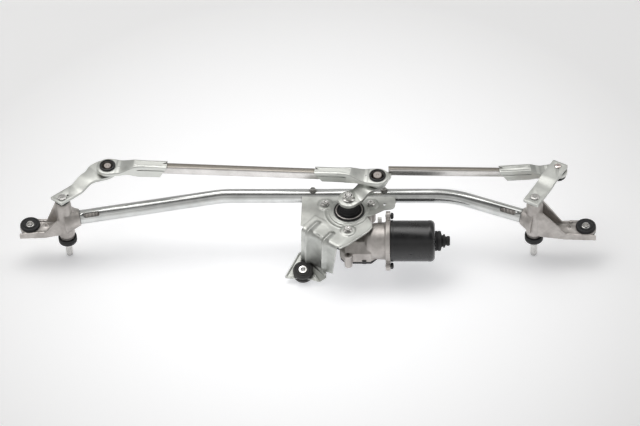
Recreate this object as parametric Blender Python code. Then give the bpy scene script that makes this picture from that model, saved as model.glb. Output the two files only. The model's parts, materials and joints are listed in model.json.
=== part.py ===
"""Windshield wiper assembly: motor, crank, two links, two pivots and the tube frame that carries them.

Run it with: blender --background --python part.py
Lengths are metres. +X runs along the frame, +Y points to the links' side, +Z is up. The assembly
stands on its two splined shaft ends and on the foot of the motor bracket, all at height zero.
"""
from math import acos, asin, atan2, cos, pi, radians, sin, sqrt

import bmesh
import bpy
from mathutils import Matrix, Vector

MM = 0.001
GAP = 0.3 * MM                     # clearance between pieces that touch

# ---- Driving dimensions ----
PIVOT_SPACING = 700 * MM
LEVER_PLANE = 120 * MM             # top of both levers at their pivots
MOTOR_X = 76 * MM
MOTOR_Y = -3 * MM
CRANK_RADIUS = 50.6 * MM
CRANK_ANGLE = radians(32.9)
LEFT_LEVER_LENGTH = 80.5 * MM
LEFT_LEVER_ANGLE = radians(35.3)
RIGHT_LEVER_LENGTH = 71.6 * MM
RIGHT_LEVER_ANGLE = radians(60.5)

# ---- Frame tube ----
TUBE_RADIUS = 11 * MM
TUBE_WALL = 1.5 * MM
TUBE_Y = 38.5 * MM
TUBE_Z = 84.7 * MM
TUBE_LEFT_END = -327 * MM
TUBE_RIGHT_END = 331 * MM
TUBE_LEFT_BEND = -115 * MM
TUBE_RIGHT_BEND = 229 * MM
TUBE_BEND_RADIUS = 150 * MM
LEFT_NECK_Z = 74.3 * MM            # where the tube's axis meets each pivot axis
RIGHT_NECK_Z = 73.5 * MM
TUBE_SCREW_X = (20.6 * MM, 126.9 * MM)

# ---- Pivots ----
SHAFT_RADIUS = 6 * MM
SPLINE_RADIUS = 5.35 * MM
SPLINE_LENGTH = 22 * MM
BARREL_RADIUS = 12 * MM
BARREL_TOP = 113 * MM
SEAL_RADIUS = 14 * MM
LEFT_BARREL_FOOT = 33 * MM
RIGHT_BARREL_FOOT = 36.5 * MM
LEFT_EAR_REACH = 54.5 * MM         # pivot axis to grommet axis
RIGHT_EAR_REACH = 76.7 * MM
EAR_Y = 3 * MM
LEFT_EAR_TOP = 58 * MM
RIGHT_EAR_TOP = 54 * MM
EAR_RADIUS = 15.6 * MM
GROMMET_RADIUS = 15 * MM
EAR_GROMMET_HEIGHT = 14 * MM
FOOT_GROMMET_HEIGHT = 16 * MM
EAR_THICKNESS = 5 * MM

# ---- Levers, crank and links ----
LEVER_WIDTH = 25 * MM
LEVER_THICKNESS = 4.5 * MM
LEFT_LEVER_RISE = 9 * MM
LEFT_LEVER_EDGES = (               # far and near edge of the lever: mm along it and mm across it
    ((-13.5, 10.5), (-7, -10.5)), ((20, 14.5), (26, -6.5)), ((24, 15), (30, -6)), ((43, 17.5), (49, -5)),
    ((52, 19.5), (56, -5.5)), ((61, 25.5), (62, -7.5)), ((66, 27), (68, -9.5)), ((80, 27.5), (76, -11.5)),
    ((86, 25), (84, -11)), ((91, 16), (91, -6)))
RIGHT_LEVER_RISE = 3 * MM
CRANK_HUB_RADIUS = 15.6 * MM
CRANK_THICKNESS = 5 * MM
CRANK_RISE = 9 * MM
CRANK_WIDTH = 25 * MM
LINK_TOP = 140 * MM                # top of the left link's two eyes
LINK_EYE_RADIUS = 17 * MM
LINK_SHEET = 1.5 * MM
SOCKET_RISE = 3 * MM               # how far a socket's flange stands above its eye
BALL_RADIUS = 6.8 * MM
CRANK_BALL_RADIUS = 7.6 * MM
CRANK_BALL_Z = 138.2 * MM
LEFT_BALL_Z = 137 * MM
RIGHT_BALL_Z = 110.5 * MM
LEFT_ROD_WIDTH = 11.5 * MM
LEFT_ROD_HEIGHT = 14 * MM
LEFT_ROD_TOP = 146.7 * MM
RIGHT_ROD_WIDTH = 9.5 * MM
RIGHT_ROD_HEIGHT = 13 * MM
RIGHT_ROD_TOP = 138.8 * MM         # at the crank end
RIGHT_ROD_SLOPE = -0.069

# ---- Motor ----
PLATE_TOP = 92 * MM
PLATE_THICKNESS = 2 * MM
PLATE_BOSS_TOP = 95 * MM
BOSS_RIM_TOP = 97.4 * MM
BOSS_RIM_RADIUS = 21 * MM
CAN_Y = -32 * MM
CAN_Z = 60.5 * MM
CAN_RADIUS = 31 * MM
CAN_START = 137.6 * MM
CAN_END = 203 * MM
FLANGE_START = 130 * MM
FLANGE_EAR = 37 * MM
BOLT_PAD_TOP = 93.6 * MM
BOLTS = tuple(Vector((x * MM, y * MM, 0)) for x, y in ((40, 12.5), (107.5, 12.3), (75.3, -42)))
TOWER_SPOT = Vector((75 * MM, -61 * MM, 0))
PLATE_FAR_EDGE = 30.5 * MM         # where the plate meets the tube's near side
SADDLE_THICKNESS = 2 * MM
COVER_TOP = 44 * MM
COVER_THICKNESS = 4.5 * MM
GEAR_RADIUS = 23.6 * MM
GEAR_TEETH = 40

# ---- Foot of the motor bracket ----
FOOT_CENTRE = Vector((6 * MM, -48.6 * MM, 10.95 * MM))
FOOT_TILT = radians(14)

MOTOR_AXIS = Vector((MOTOR_X, MOTOR_Y, 0))
LEFT_PIVOT = Vector((-PIVOT_SPACING / 2, 0, 0))
RIGHT_PIVOT = Vector((PIVOT_SPACING / 2, 0, 0))


def polar(centre, radius, angle):
    """Return the point at this radius and angle about a centre, in plan."""
    return centre + Vector((radius * cos(angle), radius * sin(angle), 0))


CRANK_PIN = polar(MOTOR_AXIS, CRANK_RADIUS, CRANK_ANGLE)
LEFT_BALL = polar(LEFT_PIVOT, LEFT_LEVER_LENGTH, LEFT_LEVER_ANGLE)
RIGHT_BALL = polar(RIGHT_PIVOT, RIGHT_LEVER_LENGTH, RIGHT_LEVER_ANGLE)

MATERIALS = {
    "zinc_steel": ((0.62, 0.62, 0.60), 0.34, 1.0),
    "dull_zinc": ((0.50, 0.49, 0.46), 0.42, 1.0),
    "cast_aluminium": ((0.56, 0.52, 0.49), 0.55, 1.0),
    "bright_steel": ((0.75, 0.74, 0.72), 0.20, 1.0),
    "black_paint": ((0.012, 0.012, 0.013), 0.32, 0.0),
    "black_rubber": ((0.020, 0.020, 0.021), 0.65, 0.0),
    "black_plastic": ((0.028, 0.028, 0.030), 0.45, 0.0),
    "bronze": ((0.55, 0.36, 0.20), 0.45, 1.0),
    "gear_plastic": ((0.75, 0.72, 0.62), 0.50, 0.0),
    "magnet": ((0.10, 0.10, 0.11), 0.60, 0.0),
    "copper": ((0.75, 0.35, 0.20), 0.35, 1.0),
}


# ---- Modelling helpers ----

def clear_scene():
    for old in list(bpy.data.objects):
        bpy.data.objects.remove(old, do_unlink=True)


def material(slot):
    found = bpy.data.materials.get(slot)
    if found:
        return found
    colour, roughness, metallic = MATERIALS[slot]
    made = bpy.data.materials.new(slot)
    made.use_nodes = True
    shader = made.node_tree.nodes["Principled BSDF"]
    shader.inputs["Base Color"].default_value = (*colour, 1.0)
    shader.inputs["Roughness"].default_value = roughness
    shader.inputs["Metallic"].default_value = metallic
    return made


def solid(name, bm, slot="zinc_steel", smooth=True):
    """Turn a bmesh into an object with outward normals."""
    bmesh.ops.remove_doubles(bm, verts=bm.verts, dist=1e-6)
    bmesh.ops.recalc_face_normals(bm, faces=bm.faces)
    mesh = bpy.data.meshes.new(name)
    bm.to_mesh(mesh)
    bm.free()
    made = bpy.data.objects.new(name, mesh)
    bpy.context.collection.objects.link(made)
    mesh.materials.append(material(slot))
    if smooth:
        mesh.shade_smooth()
        mesh.set_sharp_from_angle(angle=radians(30))
    return made


def loft(name, sections, slot="zinc_steel", closed=False):
    """Join rings of points into one body, capped at both ends unless the rings close on themselves."""
    bm = bmesh.new()
    rings = [[bm.verts.new(point) for point in section] for section in sections]
    pairs = list(zip(rings, rings[1:]))
    if closed:
        pairs.append((rings[-1], rings[0]))
    for lower, upper in pairs:
        count = len(lower)
        for i in range(count):
            j = (i + 1) % count
            bm.faces.new((lower[i], lower[j], upper[j], upper[i]))
    if not closed:
        bm.faces.new(list(reversed(rings[0])))
        bm.faces.new(rings[-1])
    return solid(name, bm, slot)


def prism(name, outline, bottom, top, slot="zinc_steel"):
    """Extrude a plan outline from one height to another."""
    sections = [[Vector((p[0], p[1], z)) for p in outline] for z in (bottom, top)]
    return loft(name, sections, slot)


def circle(radius, count=32, centre=(0, 0), start=0.0, sweep=2 * pi):
    """Points of a circle, or of an arc with both ends when the sweep is less than a full turn."""
    steps = count if abs(sweep) > 2 * pi - 1e-6 else count - 1
    return [(centre[0] + radius * cos(start + sweep * i / steps),
             centre[1] + radius * sin(start + sweep * i / steps)) for i in range(count)]


def turned(name, profile, centre, slot="zinc_steel", count=32, axis="Z"):
    """Turn a profile of (radius, height) points about a vertical axis, or about X when asked.

    A profile that starts and ends on the axis makes a full body; any other profile is a closed loop
    and makes a ring.
    """
    bm = bmesh.new()
    rings = []
    for radius, height in profile:
        if radius < 1e-9:
            rings.append([bm.verts.new((0, 0, height))])
        else:
            rings.append([bm.verts.new((x, y, height)) for x, y in circle(radius, count)])
    pairs = list(zip(rings, rings[1:]))
    if len(rings[0]) > 1:
        pairs.append((rings[-1], rings[0]))
    for lower, upper in pairs:
        for i in range(count):
            j = (i + 1) % count
            corners = [lower[i % len(lower)], lower[j % len(lower)], upper[j % len(upper)], upper[i % len(upper)]]
            corners = list(dict.fromkeys(corners))
            if len(corners) > 2:
                bm.faces.new(corners)
    turn = Matrix.Rotation(radians(90), 4, "Y") if axis == "X" else Matrix.Identity(4)
    bmesh.ops.transform(bm, matrix=Matrix.Translation(centre) @ turn, verts=bm.verts)
    return solid(name, bm, slot)


def cylinder(name, radius, bottom, top, centre, slot="zinc_steel", count=32):
    return turned(name, [(0, bottom), (radius, bottom), (radius, top), (0, top)], centre, slot, count)


def rod_between(name, start, end, radius, slot="zinc_steel", count=24):
    """A round bar from one point to another."""
    start, end = Vector(start), Vector(end)
    direction = end - start
    turn = direction.to_track_quat("Z", "Y").to_matrix().to_4x4()
    place = Matrix.Translation(start) @ turn
    sections = [[place @ Vector((x, y, z)) for x, y in circle(radius, count)] for z in (0, direction.length)]
    return loft(name, sections, slot)


def box(name, low, high, slot="zinc_steel"):
    outline = [(low[0], low[1]), (high[0], low[1]), (high[0], high[1]), (low[0], high[1])]
    return prism(name, outline, low[2], high[2], slot)


def combine(target, tools, operation):
    """Apply one Boolean after another to the target and remove the tool objects."""
    slot = target.data.materials[0]
    for tool in tools:
        step = target.modifiers.new(operation.lower(), "BOOLEAN")
        step.operation = operation
        step.solver = "EXACT"
        step.object = tool
        bpy.context.view_layer.update()
        graph = bpy.context.evaluated_depsgraph_get()
        result = bpy.data.meshes.new_from_object(target.evaluated_get(graph))
        target.modifiers.clear()
        merged = bmesh.new()
        merged.from_mesh(result)
        bmesh.ops.remove_doubles(merged, verts=merged.verts, dist=5e-7)
        merged.to_mesh(result)
        merged.free()
        target.data = result
        bpy.data.objects.remove(tool, do_unlink=True)
    target.data.materials.clear()
    target.data.materials.append(slot)
    for polygon in target.data.polygons:
        polygon.material_index = 0
    target.data.shade_smooth()
    target.data.set_sharp_from_angle(angle=radians(30))
    return target


def join(target, *tools):
    return combine(target, tools, "UNION")


def cut(target, *tools):
    return combine(target, tools, "DIFFERENCE")


def hub(name, position):
    """An empty on a joint's axis."""
    empty = bpy.data.objects.new(name, None)
    empty.empty_display_size = 0.03
    bpy.context.collection.objects.link(empty)
    empty.location = position
    return empty


def hang(piece, empty, at):
    """Parent a piece to a joint's empty, with its origin on the joint's axis."""
    piece.data.transform(Matrix.Translation(-at))
    piece.parent = empty
    return piece


def rounded_rectangle(width, height, radius, arc=4):
    """A rectangle in its own plane, centred, with rounded corners."""
    outline = []
    for i, (sx, sy) in enumerate(((1, 1), (-1, 1), (-1, -1), (1, -1))):
        middle = (sx * (width / 2 - radius), sy * (height / 2 - radius))
        outline += circle(radius, arc, middle, i * pi / 2, pi / 2)
    return outline


def hex_outline(across_flats, centre):
    return circle(across_flats / sqrt(3), 6, centre)


# ---- Frame tube ----

def tube_corners():
    """Corner points of the tube's centre line, extended to both pivot axes."""
    return [
        Vector((-PIVOT_SPACING / 2, 0, LEFT_NECK_Z)),
        Vector((TUBE_LEFT_BEND, TUBE_Y, TUBE_Z)),
        Vector((TUBE_RIGHT_BEND, TUBE_Y, TUBE_Z)),
        Vector((PIVOT_SPACING / 2, 0, RIGHT_NECK_Z)),
    ]


def point_at_x(start, end, x):
    return start.lerp(end, (x - start.x) / (end.x - start.x))


def tube_path():
    """Centre line of the cut tube, with an arc at each bend."""
    corners = tube_corners()
    path = [point_at_x(corners[0], corners[1], TUBE_LEFT_END)]
    for before, corner, after in zip(corners, corners[1:], corners[2:]):
        into = (corner - before).normalized()
        out = (after - corner).normalized()
        angle = acos(max(-1, min(1, into.dot(out))))
        setback = TUBE_BEND_RADIUS * sin(angle / 2) / cos(angle / 2)
        for i in range(5):
            t = i / 4
            a = corner - into * setback * (1 - t)
            b = corner + out * setback * t
            path.append(a.lerp(b, t))
    path.append(point_at_x(corners[2], corners[3], TUBE_RIGHT_END))
    return path


def sweep_rings(path, outline):
    """Carry a closed outline along a path, each ring square to it and upright."""
    rings = []
    for i, point in enumerate(path):
        ahead = path[min(i + 1, len(path) - 1)]
        behind = path[max(i - 1, 0)]
        forward = (ahead - behind).normalized()
        side = Vector((0, 0, 1)).cross(forward).normalized()
        up = forward.cross(side)
        rings.append([point + side * a + up * b for a, b in outline])
    return rings


def build_frame_tube():
    outer = sweep_rings(tube_path(), circle(TUBE_RADIUS, 24))
    inner = sweep_rings(tube_path(), circle(TUBE_RADIUS - TUBE_WALL, 24))
    tube = loft("frame_tube", outer + inner[::-1], closed=True)
    cutters = []
    corners = tube_corners()
    windows = (
        (point_at_x(corners[0], corners[1], -324 * MM), point_at_x(corners[0], corners[1], -296 * MM)),
        (point_at_x(corners[2], corners[3], 299 * MM), point_at_x(corners[2], corners[3], 325 * MM)),
    )
    for i, (start, end) in enumerate(windows):
        # The staked windows face up and toward the motor side, on the tube's shoulder.
        outward = Vector((0, -0.62, 0.78))
        mid = (start + end) / 2 + outward * TUBE_RADIUS
        along = (end - start).normalized()
        across = outward.cross(along).normalized()
        place = Matrix.Translation(mid) @ Matrix((along, across, along.cross(across))).transposed().to_4x4()
        window = rounded_rectangle(18 * MM, 5.5 * MM, 2.5 * MM, 3)
        rings = [[place @ Vector((a, b, z)) for a, b in window] for z in (-5 * MM, 6 * MM)]
        cutters.append(loft("window_%d" % i, rings))
    for i, x in enumerate(TUBE_SCREW_X):
        spot = Vector((x, TUBE_Y, 0))
        cutters.append(cylinder("screw_hole_%d" % i, 3 * MM, TUBE_Z - 18 * MM, TUBE_Z + 18 * MM, spot, count=12))
    return cut(tube, *cutters)


# ---- Pivots ----

def ear_top(side):
    return RIGHT_EAR_TOP if side > 0 else LEFT_EAR_TOP


def ear_outline(pivot, side, reach, width_at_barrel):
    """Plan outline of a housing's mounting ear, round about its grommet."""
    eye = (pivot.x + side * reach, EAR_Y)
    radius = EAR_RADIUS
    start = -pi / 2 if side > 0 else pi / 2
    outline = circle(radius, 15, eye, start, pi)
    near = pivot.x
    far = [(near, EAR_Y + width_at_barrel), (near, EAR_Y - width_at_barrel - 3 * MM)]
    return outline + (far if side > 0 else far[::-1])


def build_housing(name, pivot, side, reach, neck_z, foot, tube_end, corners):
    """Cast barrel with a neck and spigot for the tube, a web and a mounting ear."""
    slot = "cast_aluminium"
    barrel = turned(name, [
        (0, foot), (BARREL_RADIUS - 1.2 * MM, foot), (BARREL_RADIUS - 1.2 * MM, foot + 9 * MM),
        (BARREL_RADIUS, foot + 10 * MM), (BARREL_RADIUS, BARREL_TOP - 5 * MM),
        (BARREL_RADIUS - 1.5 * MM, BARREL_TOP), (0, BARREL_TOP)], pivot, slot, 28)
    start, end = corners
    inward = -side
    neck_end = point_at_x(start, end, tube_end - inward * 0.5 * MM)
    spigot_end = point_at_x(start, end, tube_end + inward * 34 * MM)
    neck = rod_between("neck", start, neck_end, TUBE_RADIUS + 0.8 * MM, slot, 20)
    spigot = rod_between("spigot", start, spigot_end, TUBE_RADIUS - TUBE_WALL - GAP, slot, 16)
    web_low = neck_z - 26 * MM
    web_high = neck_z + 24 * MM
    gusset_end = neck_end.x - inward * 4.5 * MM
    gusset = box("gusset", (min(pivot.x, gusset_end), -2.5 * MM, web_low),
                 (max(pivot.x, gusset_end), 2.5 * MM, web_high), slot)
    top = ear_top(side)
    ear = prism("ear", ear_outline(pivot, side, reach, 11 * MM), top - EAR_THICKNESS, top, slot)
    lip = build_ear_lip(pivot, side, reach, slot)
    web = build_ear_web(pivot, side, reach, slot)
    housing = join(barrel, neck, spigot, gusset, ear, lip, web)
    eye = Vector((pivot.x + side * reach, EAR_Y, 0))
    small = Vector((pivot.x + side * (reach - 24 * MM), EAR_Y, 0))
    return cut(
        housing,
        cylinder("bore", 8.2 * MM, foot - 5 * MM, BARREL_TOP + 5 * MM, pivot, count=20),
        cylinder("eye", 10.5 * MM, 30 * MM, 80 * MM, eye, count=24),
        cylinder("small", 2.6 * MM, 30 * MM, 60 * MM, small, count=16))


def build_ear_lip(pivot, side, reach, slot):
    """The deep front wall of the ear, from the barrel to the grommet's far side."""
    far = pivot.x + side * (reach + 15 * MM)
    near = pivot.x + side * 4 * MM
    front = EAR_Y - GROMMET_RADIUS - 3.2 * MM
    points = [(near, front + 1.6 * MM), (far, front), (far, front + 2.4 * MM), (near, front + 4.4 * MM)]
    return prism("lip", points, ear_top(side) - 11 * MM, ear_top(side) - 1 * MM, slot)


def build_ear_web(pivot, side, reach, slot):
    """The triangular rear wall that ties the ear to the top of the barrel."""
    near = pivot.x
    far = pivot.x + side * (reach - 22 * MM)
    back, front = EAR_Y + 8.5 * MM, EAR_Y + 4.5 * MM
    low = ear_top(side) - 4 * MM
    corners = [(near, 106 * MM), (near, low), (far, low), (far, low + 7 * MM)]
    sections = [[Vector((x, y, z)) for x, z in corners] for y in (front, back)]
    return loft("web", sections, slot)


def build_bush(name, pivot, foot):
    profile = [(SHAFT_RADIUS + 0.05 * MM, foot + 3 * MM), (8 * MM, foot + 3 * MM),
               (8 * MM, BARREL_TOP - 1 * MM), (SHAFT_RADIUS + 0.05 * MM, BARREL_TOP - 1 * MM)]
    return turned(name, profile, pivot, "bronze", 28)


def build_thrust_washer(name, pivot):
    profile = [(6.3 * MM, 113.3 * MM), (10 * MM, 113.3 * MM), (10 * MM, 115.2 * MM), (6.3 * MM, 115.2 * MM)]
    return turned(name, profile, pivot, "black_plastic", 24)


def build_shaft(name, pivot, foot):
    """Pivot shaft: riveted into its lever on top, fluted where the wiper arm seats."""
    neck = 4.9 * MM
    body = turned(name, [
        (0, SPLINE_LENGTH), (SPLINE_RADIUS - 0.6 * MM, SPLINE_LENGTH), (SPLINE_RADIUS - 0.6 * MM, foot - 6 * MM),
        (SHAFT_RADIUS, foot - 3 * MM), (SHAFT_RADIUS, 115.2 * MM), (neck, 115.3 * MM),
        (neck, LEVER_PLANE + 0.2 * MM), (neck + 1.6 * MM, LEVER_PLANE + 0.3 * MM),
        (neck + 1 * MM, LEVER_PLANE + 1.5 * MM), (0, LEVER_PLANE + 1.7 * MM)], pivot, "bright_steel", 28)
    flutes = 16
    outline = []
    for i in range(flutes * 2):
        radius = SPLINE_RADIUS - (0.55 * MM if i % 2 else 0)
        outline.append((pivot.x + radius * cos(pi * i / flutes), pivot.y + radius * sin(pi * i / flutes)))
    inner = [(pivot.x + (x - pivot.x) * 0.84, pivot.y + (y - pivot.y) * 0.84) for x, y in outline]
    sections = [[Vector((x, y, 0)) for x, y in inner], [Vector((x, y, 1.2 * MM)) for x, y in outline],
                [Vector((x, y, SPLINE_LENGTH + 1 * MM)) for x, y in outline]]
    return join(body, loft("flutes", sections, "bright_steel"))


def build_shaft_seal(name, pivot, foot):
    """Rubber cap over the lower end of a housing, with a lip on the shaft."""
    profile = [
        (SHAFT_RADIUS + 0.3 * MM, foot - 5 * MM), (SEAL_RADIUS - 2 * MM, foot - 5 * MM),
        (SEAL_RADIUS, foot - 2 * MM), (SEAL_RADIUS, foot + 6 * MM), (BARREL_RADIUS - 0.9 * MM, foot + 6 * MM),
        (BARREL_RADIUS - 0.9 * MM, foot - GAP), (SHAFT_RADIUS + 0.3 * MM, foot - GAP)]
    return turned(name, profile, pivot, "black_rubber", 28)


# ---- Rubber mounts ----

def build_grommet(name, centre, height, tilt=0.0):
    """Rubber grommet that grips a plate at its waist; the centre is at mid height."""
    half = height / 2
    plate = EAR_THICKNESS / 2 + GAP if tilt == 0 else PLATE_THICKNESS / 2 + GAP
    waist, rim = 10.1 * MM, GROMMET_RADIUS
    profile = [(6.5 * MM, -half), (13 * MM, -half), (rim, -half + 2 * MM), (rim, -plate), (waist, -plate),
               (waist, plate), (rim, plate), (rim, half - 2 * MM), (13.4 * MM, half), (6.5 * MM, half)]
    grommet = turned(name, profile, Vector((0, 0, 0)), "black_rubber", 24)
    grommet.data.transform(Matrix.Translation(centre) @ Matrix.Rotation(tilt, 4, "X"))
    return grommet


def build_sleeve(name, centre, height, tilt=0.0):
    half = height / 2 + 1 * MM
    profile = [(3.5 * MM, -half), (6.2 * MM, -half), (6.2 * MM, half), (3.5 * MM, half)]
    sleeve = turned(name, profile, Vector((0, 0, 0)), "bright_steel", 20)
    sleeve.data.transform(Matrix.Translation(centre) @ Matrix.Rotation(tilt, 4, "X"))
    return sleeve


def ear_centre(pivot, side, reach):
    return Vector((pivot.x + side * reach, EAR_Y, ear_top(side) - EAR_THICKNESS / 2))


# ---- Levers and crank arm ----

def bent_strip(name, start, angle, stations, thickness, slot="zinc_steel"):
    """A flat bar bent up and down: stations are (distance, half width, top height)."""
    along = Vector((cos(angle), sin(angle), 0))
    side = Vector((-sin(angle), cos(angle), 0))
    sections = []
    for distance, half, top in stations:
        middle = start + along * distance
        sections.append([
            middle + side * half + Vector((0, 0, top)),
            middle - side * half + Vector((0, 0, top)),
            middle - side * half + Vector((0, 0, top - thickness)),
            middle + side * half + Vector((0, 0, top - thickness))])
    return loft(name, sections, slot)


def round_end(centre, radius, top, outward, steps=7):
    """Stations that round off a strip's end about a centre, running away from the strip or back to it."""
    stations = []
    for i in range(steps):
        angle = radians(8) + (pi / 2 - radians(8)) * i / (steps - 1)
        stations.append((centre + outward * radius * cos(angle), radius * sin(angle), top))
    return stations if outward < 0 else stations[::-1]


def lever_height(distance, low, rise, start, end):
    """Top of a bent lever this far along it."""
    t = max(0.0, min(1.0, (distance - start) / (end - start)))
    return low + rise * t


def build_left_lever():
    """A dog-legged strip: it leaves the pivot a little wide of the ball, climbs, and ends in a broad pad."""
    low = LEVER_PLANE
    stations = LEFT_LEVER_EDGES
    along = Vector((cos(LEFT_LEVER_ANGLE), sin(LEFT_LEVER_ANGLE), 0))
    side = Vector((-along.y, along.x, 0))
    sections = []
    for (far_d, far_s), (near_d, near_s) in stations:
        middle = (far_d + near_d) / 2 * MM
        top = lever_height(middle, low, LEFT_LEVER_RISE, 26 * MM, 45 * MM)
        far = LEFT_PIVOT + (along * far_d + side * far_s) * MM
        near = LEFT_PIVOT + (along * near_d + side * near_s) * MM
        sections.append([point + Vector((0, 0, z)) for point, z in (
            (far, top), (near, top), (near, top - LEVER_THICKNESS), (far, top - LEVER_THICKNESS))])
    lever = loft("left_lever", sections)
    return cut(lever, cylinder("shaft_hole", 5.2 * MM, 100 * MM, 130 * MM, LEFT_PIVOT, count=24),
               cylinder("stud_hole", 3.8 * MM, 110 * MM, 140 * MM, LEFT_BALL, count=24))


def build_right_lever():
    half = LEVER_WIDTH / 2
    low, high = LEVER_PLANE, LEVER_PLANE + RIGHT_LEVER_RISE
    stations = [(-13.5 * MM, half, low), (27 * MM, half, low), (45 * MM, half, high),
                (RIGHT_LEVER_LENGTH + 9 * MM, half, high)]
    lever = bent_strip("right_lever", RIGHT_PIVOT, RIGHT_LEVER_ANGLE, stations, LEVER_THICKNESS)
    return cut(lever, cylinder("shaft_hole", 5.2 * MM, 100 * MM, 130 * MM, RIGHT_PIVOT, count=24),
               cylinder("stud_hole", 3.8 * MM, 110 * MM, 140 * MM, RIGHT_BALL, count=24))


def build_crank_arm():
    half = CRANK_WIDTH / 2
    low, high = LEVER_PLANE, LEVER_PLANE + CRANK_RISE
    stations = round_end(0, CRANK_HUB_RADIUS, low, -1)
    stations += [(13 * MM, half + 1 * MM, low), (30 * MM, half, high)]
    stations += round_end(CRANK_RADIUS, half, high, 1)
    arm = bent_strip("crank_arm", MOTOR_AXIS, CRANK_ANGLE, stations, CRANK_THICKNESS)
    return cut(arm, cylinder("hub_hole", 5.3 * MM, 100 * MM, 130 * MM, MOTOR_AXIS, count=24),
               cylinder("stud_hole", 4.3 * MM, 110 * MM, 140 * MM, CRANK_PIN, count=24))


def ball_profile(radius, centre, cut_height, neck, neck_height, upward=1, steps=6):
    """(radius, height) points of a ball with a flat top, from its neck to the axis."""
    points = []
    first = sqrt(radius ** 2 - neck ** 2)
    start = -atan2(first, neck)
    end = atan2(cut_height, sqrt(radius ** 2 - cut_height ** 2))
    for i in range(steps):
        angle = start + (end - start) * i / (steps - 1)
        points.append((radius * cos(angle), centre + upward * radius * sin(angle)))
    return [(neck, neck_height)] + points + [(0, centre + upward * cut_height)]


def build_ball_stud(name, centre, deck, thickness, ball_radius, ball_z, cut_height, shank, neck, upward=1):
    """Stud riveted through an arm: closed rivet head on one side, collar, neck and ball on the other."""
    far = deck - upward * thickness
    profile = [
        (0, far - upward * 1.6 * MM), (shank + 1.2 * MM, far - upward * 1.4 * MM),
        (shank + 1.6 * MM, far - upward * GAP), (shank, far - upward * GAP),
        (shank, deck + upward * GAP), (neck + 1.2 * MM, deck + upward * GAP),
        (neck + 1.2 * MM, deck + upward * 1.1 * MM)]
    profile += ball_profile(ball_radius, ball_z, cut_height, neck, deck + upward * 1.2 * MM, upward)
    return turned(name, profile, centre, "bright_steel", 20)


# ---- Links ----

class LinkFrame:
    """Places link pieces: distance along the link from one joint to the other, sideways and height."""

    def __init__(self, start, end, slope=0.0):
        flat = Vector((end.x - start.x, end.y - start.y, 0))
        self.start = Vector((start.x, start.y, 0))
        self.length = flat.length
        self.along = flat.normalized()
        self.side = Vector((-self.along.y, self.along.x, 0))
        self.slope = slope

    def point(self, distance, sideways, height):
        return (self.start + self.along * distance + self.side * sideways
                + Vector((0, 0, height + self.slope * distance)))

    def rings(self, stations):
        """Four-cornered rings from (distance, half width, bottom, top) stations."""
        made = []
        for distance, half, bottom, top in stations:
            made.append([self.point(distance, half, bottom), self.point(distance, half, top),
                         self.point(distance, -half, top), self.point(distance, -half, bottom)])
        return made


def fitting_stations(joint, inward, fitting, inset=0.0):
    """Outline of a stamped link end, from its round eye to the rod, as loft stations.

    inward is +1 when the rod lies at greater distances than the joint. inset shrinks the outline for
    the hollow beneath, which runs out through the open end and the open underside.
    """
    length, eye, eye_top, shallow = fitting["length"], fitting["eye"], fitting["eye_top"], fitting["shallow"]
    rise_start, channel_top, channel_bottom = fitting["rise_start"], fitting["channel_top"], fitting["channel_bottom"]
    half, bottom = fitting["half"], eye_top - shallow
    stations = []
    for i in range(6):
        angle = radians(10) + radians(75) * i / 5
        reach = (eye - inset) * cos(angle)
        stations.append((joint - inward * reach, (eye - inset) * sin(angle), bottom, eye_top - inset))
    rise_end = rise_start + 8 * MM
    flare = half + 0.6 * (eye - half)
    stations.append((joint + inward * rise_start, flare - inset, bottom, eye_top - inset))
    stations.append((joint + inward * rise_end, flare - 2 * MM - inset, bottom + 0.3 * (channel_bottom - bottom),
                     channel_top - inset))
    stations.append((joint + inward * 0.66 * length, half - inset, channel_bottom, channel_top - inset))
    overrun = 4 * MM if inset else 0
    stations.append((joint + inward * (length + overrun), half - inset, channel_bottom, channel_top - inset))
    if inset:
        stations = [(d, h, b - 5 * MM, t) for d, h, b, t in stations]
    return stations if inward > 0 else stations[::-1]


def build_fitting(name, frame, joint, inward, fitting):
    """A stamped steel link end: a shallow cup round the socket that rises and deepens into a channel."""
    outer = loft(name, frame.rings(fitting_stations(joint, inward, fitting)))
    hollow = loft("hollow", frame.rings(fitting_stations(joint, inward, fitting, LINK_SHEET)))
    centre = frame.point(joint, 0, 0)
    opening = cylinder("opening", fitting["hole"], 80 * MM, 160 * MM, Vector((centre.x, centre.y, 0)), count=28)
    end = joint + inward * fitting["length"]
    low, high = fitting["channel_bottom"] - 3 * MM, fitting["channel_top"] - 1 * MM
    slant = [(end - inward * 9 * MM, low), (end + inward * 2 * MM, low), (end + inward * 2 * MM, high), (end, high)]
    sections = [[frame.point(d, side, z) for d, z in slant] for side in (-20 * MM, 20 * MM)]
    return cut(outer, hollow, opening, loft("slant", sections))


def build_rod(name, frame, start, end, width, height, top, wall=1.3 * MM, sideways=(0.0, 0.0)):
    """Flattened steel tube, rectangular with soft corners, open at both ends."""
    rings = []
    for inset in (0.0, wall):
        outline = rounded_rectangle(width - 2 * inset, height - 2 * inset, 2.2 * MM - inset, 4)
        pair = []
        for distance, shift in ((start, sideways[0]), (end, sideways[1])):
            pair.append([frame.point(distance, a + shift, top - height / 2 + b) for a, b in outline])
        rings.append(pair)
    outer, inner = rings
    return loft(name, outer + inner[::-1], "dull_zinc", closed=True)


def build_socket(name, centre, inner, body, flange, bottom, top, upward=1):
    """Plastic socket ring with a flange on the open side of the stamped end."""
    rim = top - upward * 1.2 * MM
    profile = [(inner, bottom), (body, bottom), (body, rim), (flange, rim), (flange, top - upward * 0.3 * MM),
               (flange - 0.5 * MM, top), (inner + 0.8 * MM, top), (inner, top - upward * 0.8 * MM)]
    return turned(name, profile, centre, "black_plastic", 28)


# ---- Motor bracket ----

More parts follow.
